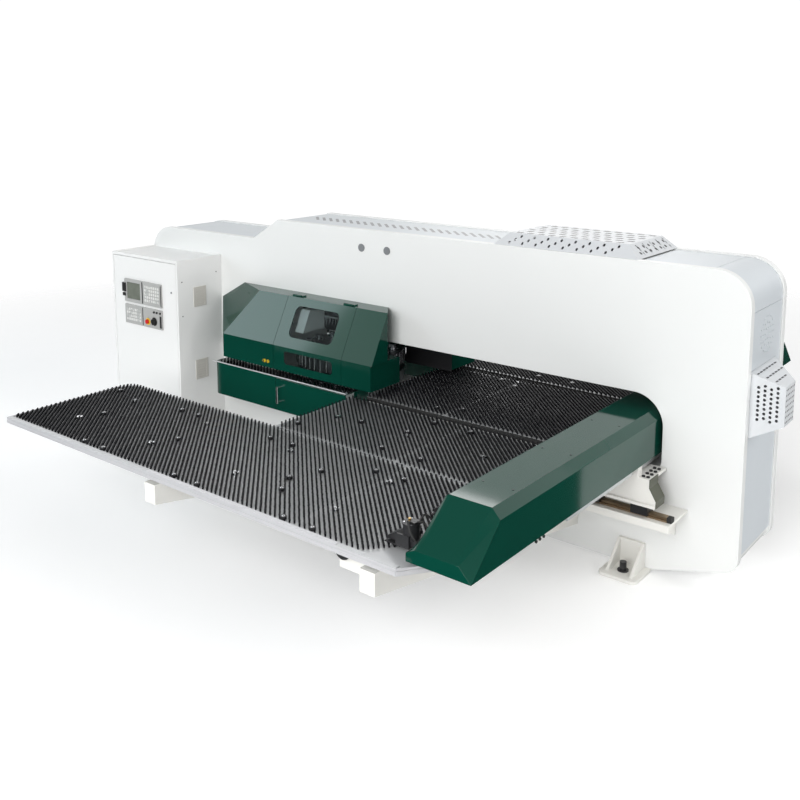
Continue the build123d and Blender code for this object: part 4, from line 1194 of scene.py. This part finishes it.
@dataclass
class HeadSet:
    """A set of like bolt or screw heads."""

    name: str
    body: Body
    finish: Finish
    radius: float
    depth: float
    along: Along
    spots: Sequence[Point]

    def build(self, maker: NodeMaker) -> bpy.types.Object:
        """Make the heads.

        Args:
            maker: The head group.

        Returns:
            The heads as one piece.
        """
        obj = from_points(self.name, [place(*spot) for spot in self.spots], [])
        maker.apply(obj, {"Radius": self.radius * MM, "Depth": self.depth * MM, "Turn": self.along.value,
                          "Material": self.finish.material()})
        return settle(obj, self.finish, self.body)


@dataclass
class Casework:
    """The frame, covers and other folded or welded work with eased edges."""

    plate_mm: float = 7.0
    welded_mm: float = 4.0
    cabinet_mm: float = 3.0
    hanger_mm: float = 2.0
    nose_mm: float = 1.6
    clamp_mm: float = 1.5
    sheet_mm: float = 1.4
    table_mm: float = 1.2
    ridge: float = 2193.0
    tip: float = 2439.0
    right: float = 2270.0
    crease: float = 1036.0
    base: float = 803.0
    tip_right: float = 2199.0
    tip_top: float = 876.0
    nose_reach: float = 20.0
    nose_slack: float = 1.5
    slack_share: float = 0.001
    clamp_top: float = 866.0
    clamp_crown_share: float = 0.12

    def build(self) -> None:
        """Stand eased copies in for the solids that show their edges."""
        soften("main_frame", WHITE, Body.FRAME, self.plate_mm, 3)
        for finish, body, width, nodes in (
            (CREAM, Body.FRAME, self.welded_mm, ("foot_brackets", "rail_shelves", "support_arms")),
            (GREEN, Body.FRAME, self.sheet_mm, (
                "turret_cover_left", "turret_cover_right", "turret_cover_rear", "lower_cover_front",
                "lower_cover_rear",
            )),
            (GREEN, Body.TURRET_DOOR, self.sheet_mm, ("turret_door",)),
            (GREEN, Body.LOWER_DOOR, self.sheet_mm, ("lower_door",)),
        ):
            for node in nodes:
                soften(node, finish, body, width)
        soften("beam_cover", GREEN, Body.CARRIAGE, self.nose_mm, fold=self.fold_noses)
        soften("cabinet_shell", CABINET_WHITE, Body.FRAME, self.cabinet_mm)
        soften("cabinet_door", CABINET_WHITE, Body.CABINET, self.cabinet_mm)
        soften("saddles", CREAM, Body.CARRIAGE, self.welded_mm)
        soften("wing_hangers", CREAM, Body.CARRIAGE, self.hanger_mm)
        soften("wing_plates", TABLE, Body.CARRIAGE, self.table_mm)
        soften("clamp_bodies", DARK, Body.CLAMPS, self.clamp_mm, fold=self.lower_clamps)

    def lower_clamps(self, work: bmesh.types.BMesh) -> None:
        """Lower the clamps' tops so that their air cylinders stand free.

        Args:
            work: The clamp bodies' mesh.
        """
        top = self.clamp_top * MM
        for vert in work.verts:
            vert.co.z = min(vert.co.z, top + self.clamp_crown_share * (vert.co.z - top))

    def fold_noses(self, work: bmesh.types.BMesh) -> None:
        """Fold the cover's right nose corners along one straight crease, as sheet is folded.

        Args:
            work: The cover's mesh.
        """
        ridge, tip, crease, base = self.ridge * MM, self.tip * MM, self.crease * MM, self.base * MM
        shares = (-self.slack_share, 1 + self.slack_share)
        for side in (-1, 1):
            top = place(self.right, side * self.ridge, self.crease)
            low = place(self.right, side * self.tip, self.base)
            point = place(self.tip_right, side * self.tip, self.tip_top)
            start_y, start_x = ridge - MM, point.x - self.nose_reach * MM
            nose = {v for v in work.verts if v.co.y * side > start_y and v.co.x > start_x}
            near = [face for face in work.faces if nose.issuperset(face.verts)]
            geom = list({e for f in near for e in f.edges} | {v for f in near for v in f.verts}) + near
            bmesh.ops.bisect_plane(work, geom=geom, dist=1e-6, plane_co=top,
                                   plane_no=(low - top).cross(Vector((1.0, 0.0, 0.0))))
            flat = (point - top).cross(low - top)
            for vert in work.verts:
                along = (vert.co.y * side - ridge) / (tip - ridge)
                if not shares[0] <= along <= shares[1]:
                    continue
                rise = (vert.co.z - base) / (crease + (self.tip_top * MM - crease) * along - base)
                if not shares[0] <= rise <= shares[1]:
                    continue
                if abs(vert.co.x - (top.x + (point.x - top.x) * along * rise)) < self.nose_slack * MM:
                    plane_x = top.x - (flat.y * (vert.co.y - top.y) + flat.z * (vert.co.z - top.z)) / flat.x
                    vert.co.x = min(top.x, plane_x)


@dataclass
class Trim:
    """Small fittings: screws, latches, the wing's bright rim and the cabinet's parts, with painted shade in
    the tread plate's slots.
    """

    ease: float = 1.5
    rim_strips: tuple[tuple[Point, Point], ...] = (
        ((-1682, -2504, 744), (1874, -2494, 768)),
        ((-1682, -2503, 772), (1874, -2480, 784)),
        ((-72, -2504, 784), (1480, -2476, 793)),
        ((-1683, -2500, 744), (-1668, -1570, 786)),
    )
    corner: tuple[Flat, Flat] = ((1872.0, -2500.0), (2008.0, -2311.0))
    corner_levels: tuple[Flat, ...] = ((744, 768), (772, 784))
    corner_thick: float = 8.0
    cover_strip: tuple[Point, Point] = ((-1673, 598, 781), (-140, 608, 790))
    # Where the painted slot shades of the tread plate and the shade sheet under them go.
    tread_from: float = -983.0
    tread_pitch: float = 76.0
    tread_slot_shades: int = 25
    tread_slot: Point = (200.0, 24.0, 0.8)
    tread_edge: float = 10.0
    tread_under: float = 7.5
    latch_x: Row = (-945, -905)
    latch_at: Flat = (-690, 931)
    latch_disc: Flat = (13.0, 12.0)
    latch_key: tuple[Point, Point] = ((-4, -701, 921), (4, -696, 941))
    stop_spot: Point = (-2249, -844.5, 1091)
    stop_disc: Flat = (31.0, 2.0)
    knob_spot: Point = (-2164, -840.2, 1100)
    knob_disc: Flat = (38.0, 0.5)
    ring_sides: int = 32
    panel_bars: tuple[tuple[Point, Point], ...] = (
        ((-2088, -842, 1052), (-2064, -839, 1158)),
        ((-2604, -848, 1322), (-2556, -826, 1402)),
        ((-2602, -846, 1282), (-2562, -826, 1310)),
        ((-2329, -841, 1240), (-2317, -839, 1432)),
        ((-2070, -841, 1246), (-2060, -839, 1426)),
        ((-2331, -841, 1044), (-2321, -839, 1202)),
    )
    cabinet_latch: Point = (-1932, -828, 1385)
    cabinet_latch_head: Flat = (8.0, 6.0)
    cabinet_screws: tuple[Point, ...] = ((-1846, -780, 1480), (-1846, -400, 1520), (-1846, -780, 1180))
    cabinet_head: Flat = (5.0, 3.0)
    saddle_x: Row = (2282, 2312)
    saddle_y: Row = (-575, -520, -465, -410)
    saddle_z: float = 738.5
    saddle_head: Flat = (11.0, 9.0)
    cover_x: Row = (2010, 2190)
    cover_y: Row = (1950, 1350, 750)
    cover_z: float = 1087.5
    cover_head: Flat = (6.0, 3.0)
    hanger_y: Row = (1660, 1700, 1740)
    hanger_z: Row = (735, 775)
    hanger_out: float = 3.0
    hanger_head: Flat = (9.0, 8.0)

    def build(self, heads: NodeMaker) -> None:
        """Make the fittings.

        Args:
            heads: The head group.
        """
        self.rim()
        self.tread()
        box_piece("lower_cover_strips", RIM, Body.FRAME, [sided(*self.cover_strip, side) for side in (-1, 1)],
                  self.ease)
        self.latches()
        self.cabinet(heads)
        self.bolts(heads)

    def rim(self) -> None:
        """Lay the bright edge strips along each wing, with the raised ledge and the cut corner."""
        start, end = self.corner
        for name, side in (("front", 1), ("rear", -1)):
            work = bmesh.new()
            for low, high in self.rim_strips:
                add_box(work, *sided(low, high, side))
            for low, high in self.corner_levels:
                first, last = place(start[0], start[1] * side, low), place(end[0], end[1] * side, low)
                way = last - first
                turn = Matrix.Rotation(math.atan2(way.y, way.x), 4, "Z")
                middle = (first + last) / 2 + Vector((0.0, 0.0, (high - low) * MM / 2))
                size = Matrix.Diagonal((way.length, self.corner_thick * MM, (high - low) * MM, 1.0))
                bmesh.ops.create_cube(work, size=1.0, matrix=Matrix.Translation(middle) @ turn @ size)
            eased(work, self.ease)
            settle(from_bmesh(f"wing_rim_{name}", work), RIM, Body.CARRIAGE)

    def tread(self) -> None:
        """Lay a dark sheet under the tread plate's slots as painted shade, and paint the slots themselves
        dark grey as painted shade in the recesses.
        """
        low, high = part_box("tread_plate")
        work = bmesh.new()
        edge, under = self.tread_edge * MM, high[2] - self.tread_under * MM
        shift = Matrix.Translation(((low[0] + high[0]) / 2, (low[1] + high[1]) / 2, under))
        size = Matrix.Diagonal((high[0] - low[0] - edge, high[1] - low[1] - edge, MM, 1.0))
        bmesh.ops.create_cube(work, size=1.0, matrix=shift @ size)
        # Painted shade: a black sheet under the slots, standing in for the shadow below the plate.
        settle(from_bmesh("tread_shade_sheet", work), DARK, Body.FRAME)
        work = bmesh.new()
        size = Matrix.Diagonal((*(side * MM for side in self.tread_slot), 1.0))
        for step in range(self.tread_slot_shades):
            spot = place(self.tread_from + self.tread_pitch * step, 0, 0)
            spot.z = high[2]
            turn = Matrix.Translation(spot) @ Matrix.Rotation(-math.pi / 4, 4, "Z")
            bmesh.ops.create_cube(work, size=1.0, matrix=turn @ size)
        # Painted shade: dark grey patches over the slots, standing in for the shade inside them.
        settle(from_bmesh("tread_slot_shades", work), PLUG, Body.FRAME)

    def latches(self) -> None:
        """Set two turn latches on the left turret cover."""
        rings = [(x, *self.latch_at) for x in self.latch_x]
        disc_piece("cover_latch_rings", YELLOW, Body.FRAME, rings, *self.latch_disc, Along.FRONT)
        (left, *low), (right, *high) = self.latch_key
        keys = [((x + left, *low), (x + right, *high)) for x in self.latch_x]
        box_piece("cover_latch_keys", BLACK, Body.FRAME, keys)

    def cabinet(self, heads: NodeMaker) -> None:
        """Set the stop button's ring, the knob's ring, the black bars, the latch and the screws.

        Args:
            heads: The head group.
        """
        spot, sides = self.stop_spot, self.ring_sides
        disc_piece("stop_ring", YELLOW, Body.CABINET, [spot], *self.stop_disc, Along.FRONT, sides)
        work = bmesh.new()
        add_disc(work, self.knob_spot, *self.knob_disc, Along.FRONT, sides)
        for low, high in self.panel_bars:
            add_box(work, low, high)
        eased(work, self.ease)
        settle(from_bmesh("panel_blacks", work), BLACK, Body.CABINET)
        latch, head = [self.cabinet_latch], self.cabinet_latch_head
        HeadSet("cabinet_latch", Body.CABINET, PLUG, *head, Along.FRONT, latch).build(heads)
        screws, head = self.cabinet_screws, self.cabinet_head
        HeadSet("cabinet_screws", Body.FRAME, DARK, *head, Along.X, screws).build(heads)

    def bolts(self, heads: NodeMaker) -> None:
        """Set cap screws on the saddles, the cover and the hangers.

        Args:
            heads: The head group.
        """
        saddle = [(x, y, self.saddle_z) for x in self.saddle_x for y in self.saddle_y]
        saddle += [(x, -y, z) for x, y, z in saddle]
        sides = (-1, 1)
        cover = [(x, y * side, self.cover_z) for x in self.cover_x for y in self.cover_y for side in sides]
        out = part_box("wing_hangers")[1][0] / MM + SHIFT_X + self.hanger_out
        hanger = [(out, side * y, z) for side in sides for y in self.hanger_y for z in self.hanger_z]
        for name, head, along, spots in (
            ("saddle_screws", self.saddle_head, Along.UP, saddle),
            ("cover_screws", self.cover_head, Along.UP, cover),
            ("hanger_screws", self.hanger_head, Along.X, hanger),
        ):
            HeadSet(name, Body.CARRIAGE, DARK, *head, along, spots).build(heads)


@dataclass
class TurretDetail:
    """What shows of the turret: the tool guides, a dark sheet behind the window that is painted shade for the
    shaded inside of the cover, and a dark sheet beside the turret that is painted shade for the shaded
    throat.
    """

    centre_x: float = -615.0
    ring_r: float = 447.0
    guides: int = 48
    guide_r: float = 15.0
    low: float = 856.0
    high: float = 962.0
    window_shade: tuple[Point, Point] = ((-835, -341, 1182), (-120, -338, 1440))
    fittings: int = 9
    fitting_from: Point = (-560, -352, 1262)
    fitting_pitch: float = 34.0
    fitting_r: float = 9.0
    fitting_high: float = 46.0
    fitting_bar: tuple[Point, Point] = ((-590, -360, 1284), (-250, -342, 1300))
    side_shade: tuple[Point, Point] = ((-256, 296, 822), (215, 302, 1180))

    def build(self) -> None:
        """Make the guides, the dark sheet of painted shade behind the window with its fittings, and the dark
        sheet of painted shade beside the turret.
        """
        turns = [2 * math.pi * step / self.guides for step in range(self.guides)]
        ring, level, high = self.ring_r, (self.low + self.high) / 2, self.high - self.low
        spots = [(self.centre_x + ring * math.cos(turn), ring * math.sin(turn), level) for turn in turns]
        disc_piece("tool_guides", TOOL, Body.UPPER_TURRET, spots, self.guide_r, high, Along.UP, 12)
        # Painted shade: a dark sheet over the white frame face behind the window, where the inside of the
        # cover lies in shade.
        box_piece("window_shade_sheet", DARK, Body.FRAME, [self.window_shade])
        work = bmesh.new()
        x, y, z = self.fitting_from
        for step in range(self.fittings):
            spot = (x + step * self.fitting_pitch, y, z)
            add_disc(work, spot, self.fitting_r, self.fitting_high, Along.UP, 12)
        add_box(work, *self.fitting_bar)
        settle(from_bmesh("window_fittings", work), TOOL, Body.FRAME)
        # Painted shade: a dark sheet beside the turret, where the throat lies in shade.
        box_piece("turret_side_shade", DARK, Body.FRAME, [self.side_shade])


@dataclass
class Vents:
    """Painted shade in the slots and holes of the hood's top and end and of the vent box: dark patches where
    the openings are.
    """

    hood_columns: int = 10
    hood_rows: int = 6
    hood_pitch: float = 84.0
    hood_shift: float = 36.0
    hood_from: Flat = (1115.0, -190.0)
    hood_slot: Flat = (46.0, 17.0)
    hood_top: float = 2108.0
    hood_deep: float = 0.4
    end_from: float = -210.0
    end_pitch: float = 78.0
    end_holes: int = 6
    end_hole: Flat = (12.0, 1.6)
    end_run: float = 105.0
    end_base: float = 2030.0
    end_rise: float = 78.0
    end_rows: tuple[Flat, ...] = ((0.32, 0.0), (0.66, 39.0))
    box_root: float = 2790.0
    box_depth: float = 216.0
    box_top: float = 1418.0
    box_drop: float = 50.0
    box_back: float = 206.0
    box_draw: float = 302.0
    box_columns: Row = (2830.0, 2885.0, 2940.0)
    box_front: float = -250.0
    box_pitch: float = 52.0
    box_slot: Point = (5.0, 34.0, 1.6)
    hole_from: Point = (3006, -255, 1148)
    hole_pitch: Flat = (28, 33)
    hole_columns: int = 6
    hole_rows: int = 7
    hole: Flat = (6.0, 1.0)
    round_in: float = 7.5
    round_z: float = 1604.0
    round_disc: Flat = (126.0, 1.0)
    round_sides: int = 40

    def build(self, heads: NodeMaker) -> None:
        """Make the painted shade of the slots and the holes.

        Args:
            heads: The head group.
        """
        self.hood(heads)
        self.vent_box(heads)

    def hood(self, heads: NodeMaker) -> None:
        """Paint the hood's slots on the top and its holes on the right slope dark, as painted shade inside
        the openings.

        Args:
            heads: The head group.
        """
        long, half = self.hood_slot
        low, high = self.hood_top - self.hood_deep, self.hood_top + self.hood_deep
        slots = []
        for column in range(self.hood_columns):
            for row in range(self.hood_rows):
                x = self.hood_from[0] + column * self.hood_pitch + (row % 2) * self.hood_shift
                y = self.hood_from[1] + row * self.hood_pitch
                slots.append(((x, y - half, low), (x + long, y + half, high)))
        # Painted shade: thin dark patches on the hood's top where its slots are.
        box_piece("hood_slot_shades", DARK, Body.FRAME, slots)
        end_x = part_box("ram_drive_hood")[1][0] / MM + SHIFT_X
        spots = []
        for share, shift in self.end_rows:
            x, z = end_x - self.end_run * share, self.end_base + self.end_rise * share
            spots += [(x, self.end_from + step * self.end_pitch + shift, z) for step in range(self.end_holes)]
        # Painted shade: dark discs over the holes on the hood's right slope.
        HeadSet("hood_end_hole_shades", Body.FRAME, DARK, *self.end_hole, Along.HOOD_END, spots).build(heads)

    def vent_box(self, heads: NodeMaker) -> None:
        """Paint the vent box's slots and holes dark, and lay a dark disc behind the round vent above it, all
        as painted shade inside the openings.

        Args:
            heads: The head group.
        """
        slots = []
        half, long, deep = self.box_slot
        for x in self.box_columns:
            out = (x - self.box_root) / self.box_depth
            z = self.box_top - out * self.box_drop
            back = self.box_back - out * self.box_draw
            for row in range(int((back - self.box_front) / self.box_pitch)):
                y = self.box_front + row * self.box_pitch
                slots.append(((x - half, y, z - deep), (x + half, y + long, z + deep)))
        # Painted shade: thin dark patches over the vent box's slots.
        box_piece("vent_box_slot_shades", DARK, Body.FRAME, slots)
        skin_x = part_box("skin_panels")[1][0] / MM + SHIFT_X
        spot, sides = (skin_x - self.round_in, 0, self.round_z), self.round_sides
        # Painted shade: a dark disc behind the round vent, standing in for the shade behind its holes.
        disc_piece("round_vent_shade", DARK, Body.FRAME, [spot], *self.round_disc, Along.X, sides)
        (x, y, z), (across_mm, up_mm) = self.hole_from, self.hole_pitch
        spots = [(x, y + column * across_mm, z + row * up_mm)
                 for column in range(self.hole_columns) for row in range(self.hole_rows)]
        # Painted shade: dark discs over the vent box's holes.
        HeadSet("vent_box_hole_shades", Body.FRAME, DARK, *self.hole, Along.X, spots).build(heads)


@dataclass
class Clamps:
    """The air cylinders, hoses and screws on the three sheet clamps."""

    places_y: Row = (-2286.0, -1890.0, -1495.0)
    cylinder_x: float = 1803.0
    lid: float = 919.0
    cylinder_r: float = 43.0
    cylinder_high: float = 80.0
    flange_share: float = 1.1
    flange_high: float = 8.0
    boss_share: float = 0.55
    boss_level: float = 13.0
    boss_high: float = 10.0
    block: tuple[Point, Point] = ((3, -30, 8), (43, 22, 22))
    port: Point = (35, 32, 12)
    port_disc: Flat = (11.0, 24.0)
    port_sides: int = 16
    round_sides: int = 40
    ease: float = 1.6
    screw_ring: float = 37.0
    screw_turns: Row = (0.6, 2.2, 3.8, 5.4)
    screw_level: float = 9.0
    screw_head: Flat = (4.5, 5.0)
    fitting: Point = (-6, -6, 22)
    fitting_head: Flat = (8.0, 14.0)
    hose_r: float = 5.5
    hoses: tuple[tuple[Point, ...], ...] = (
        ((35, 32, 20), (43, 58, 46), (63, 96, 0), (85, 100, -47), (112, 70, -76)),
        ((27, -26, 16), (23, -62, 40), (63, -88, -11), (107, -60, -76)),
        ((39, 0, 18), (69, 14, 26), (85, 30, -29), (109, 22, -76)),
    )

    def build(self, heads: NodeMaker) -> None:
        """Make the fittings of every clamp.

        Args:
            heads: The head group.
        """
        work, hoses = bmesh.new(), bmesh.new()
        screws: list[Point] = []
        fittings: list[Point] = []
        for y in self.places_y:
            self.cylinder(work, y)
            for path in self.hoses:
                add_tube(hoses, [self.at(y, *point) for point in path], self.hose_r)
            for turn in self.screw_turns:
                right, back = self.screw_ring * math.cos(turn), self.screw_ring * math.sin(turn)
                screws.append(self.at(y, right, back, self.screw_level))
            fittings.append(self.at(y, *self.fitting))
        eased(work, self.ease)
        settle(from_bmesh("clamp_cylinders", work), DARK, Body.CLAMPS)
        settle(from_bmesh("clamp_hoses", hoses), RUBBER, Body.CLAMPS)
        HeadSet("clamp_screws", Body.CLAMPS, CHROME, *self.screw_head, Along.UP, screws).build(heads)
        HeadSet("clamp_fittings", Body.CLAMPS, BRASS, *self.fitting_head, Along.UP, fittings).build(heads)

    def at(self, y: float, right: float, back: float, up: float) -> Point:
        """Give a point by its distance from the middle of a cylinder's lid.

        Args:
            y: The clamp's place along the beam.
            right: Millimetres to the right.
            back: Millimetres to the back.
            up: Millimetres above the lid.

        Returns:
            The point in millimetres.
        """
        return self.cylinder_x + right, y + back, self.lid + up

    def cylinder(self, work: bmesh.types.BMesh, y: float) -> None:
        """Add one clamp's air cylinder with its flange, boss, block and port.

        Args:
            work: The working mesh.
            y: The clamp's place along the beam.
        """
        radius, high, flange, sides = self.cylinder_r, self.cylinder_high, self.flange_high, self.round_sides
        add_disc(work, self.at(y, 0, 0, -high / 2), radius, high, Along.UP, sides)
        add_disc(work, self.at(y, 0, 0, flange / 2), radius * self.flange_share, flange, Along.UP, sides)
        add_disc(work, self.at(y, 0, 0, self.boss_level), radius * self.boss_share, self.boss_high, Along.UP)
        add_box(work, *(self.at(y, *corner) for corner in self.block))
        add_disc(work, self.at(y, *self.port), *self.port_disc, Along.UP, self.port_sides)


@dataclass
class Studio:
    """The floor, the light and the camera."""

    camera_at: Point = (4569.8, -5861.0, 3036.8)
    turn_deg: float = 38.465
    pitch_deg: float = -8.5
    lens_mm: float = 42.756
    shift_y: float = -0.2
    horizon: float = 0.3
    zenith: float = 0.42
    backdrop: float = 1.05
    sheen: float = 1.3
    shade: float = 0.03
    floor_edge: float = 11.0
    floor_z: float = -0.001
    sheen_band: Flat = (0.0, 0.22)
    fall_band: Flat = (0.4, 0.75)
    fall_ends: Flat = (1.0, 0.15)
    cool: Colour = (0.8, 0.93, 1.0)
    sensor_mm: float = 36.0
    far_m: float = 200.0

    def build(self) -> None:
        """Set the stage."""
        self.floor()
        self.lights()
        self.camera()

    def floor(self) -> None:
        """Lay a wide pale floor."""
        work = bmesh.new()
        bmesh.ops.create_grid(work, x_segments=1, y_segments=1, size=self.floor_edge,
                              matrix=Matrix.Translation((0, 0, self.floor_z)))
        floor = from_bmesh("floor", work)
        floor.data.materials.append(PaleFloor("floor_pale", "", (0.93, 0.93, 0.93), 0.75).material())
        floor.visible_glossy = False

    def lights(self) -> None:
        """Light the room evenly, with soft boxes for the gloss."""
        world = bpy.data.worlds.new("room")
        world.use_nodes = True
        graph = Graph(world.node_tree)
        way = graph.node("ShaderNodeTexCoord", output="Generated")
        height = graph.node("ShaderNodeSeparateXYZ", {0: way}, output="Z")
        rising = height * (self.zenith - self.horizon) + self.horizon
        level = graph.node("ShaderNodeClamp", {0: rising, 1: 0.0, 2: 1.0})
        rise, fall = (
            graph.node("ShaderNodeMapRange", {0: height, 1: low, 2: high, 3: first, 4: last},
                       interpolation_type="SMOOTHSTEP")
            for (low, high), (first, last) in ((self.sheen_band, (self.shade, self.sheen)),
                                               (self.fall_band, self.fall_ends))
        )
        room, plain, mirror = (
            graph.node("ShaderNodeBackground", {"Color": (1.0, 1.0, 1.0, 1.0), "Strength": strength})
            for strength in (level, self.backdrop, rise * fall)
        )
        glossy = graph.node("ShaderNodeLightPath", output="Is Glossy Ray")
        room = graph.node("ShaderNodeMixShader", {0: glossy, 1: room, 2: mirror})
        seen = graph.node("ShaderNodeLightPath", output="Is Camera Ray")
        surface = graph.node("ShaderNodeMixShader", {0: seen, 1: room, 2: plain})
        graph.node("ShaderNodeOutputWorld", {"Surface": surface})
        bpy.context.scene.world = world
        bpy.context.scene.view_settings.view_transform = "Standard"
        boxes = (
            ("key", (2.6, -9.4, 4.4), (0.0, 0.0, 0.8), 6.0, 660.0),
            ("side", (9.0, 1.0, 5.0), (2.0, 0.0, 1.0), 4.0, 280.0),
            ("fill", (-9.4, -5.4, 4.6), (-1.0, -1.0, 1.0), 5.0, 230.0),
            ("top", (0.0, 0.5, 9.0), (0.0, 0.0, 0.0), 7.0, 30.0),
            ("rear", (-3.0, 7.5, 7.0), (1.0, -0.5, 1.0), 5.0, 220.0),
        )
        for name, where, aim, size, power in boxes:
            data = bpy.data.lights.new(name, "AREA")
            data.size, data.energy = size, power
            data.color = self.cool if name == "fill" else (1.0, 1.0, 1.0)
            lamp = bpy.data.objects.new(name, data)
            lamp.visible_glossy = name != "top"
            lamp.location = where
            lamp.rotation_euler = (Vector(aim) - Vector(where)).to_track_quat("-Z", "Y").to_euler()
            bpy.context.scene.collection.objects.link(lamp)

    def camera(self) -> None:
        """Stand the camera where the photograph was taken from."""
        data = bpy.data.cameras.new("view")
        data.sensor_width, data.lens, data.shift_y = self.sensor_mm, self.lens_mm, self.shift_y
        data.clip_end = self.far_m
        cam = bpy.data.objects.new("view", data)
        cam.location = place(*self.camera_at)
        cam.rotation_euler = (math.radians(90 + self.pitch_deg), 0.0, math.radians(self.turn_deg))
        bpy.context.scene.collection.objects.link(cam)
        bpy.context.scene.camera = cam


def dress_solids() -> None:
    """Give every CAD solid its procedural finish."""
    for finish, nodes in CAD_FINISHES.items():
        for node in nodes:
            data = frame["nodes"][node].data
            data.materials.clear()
            data.materials.append(finish.material())
        LOG.info("finish %s on %d solids", finish.name, len(nodes))


def main() -> None:
    """Build the whole scene."""
    logging.basicConfig(level=logging.INFO, format="%(message)s")
    dress_solids()
    tufts, heads = tuft_group(), bolt_group()
    Casework().build()
    Tables().build(tufts)
    BallUnits().build()
    Trim().build(heads)
    TurretDetail().build()
    Vents().build(heads)
    Clamps().build(heads)
    Studio().build()


if __name__ == "__main__":
    main()
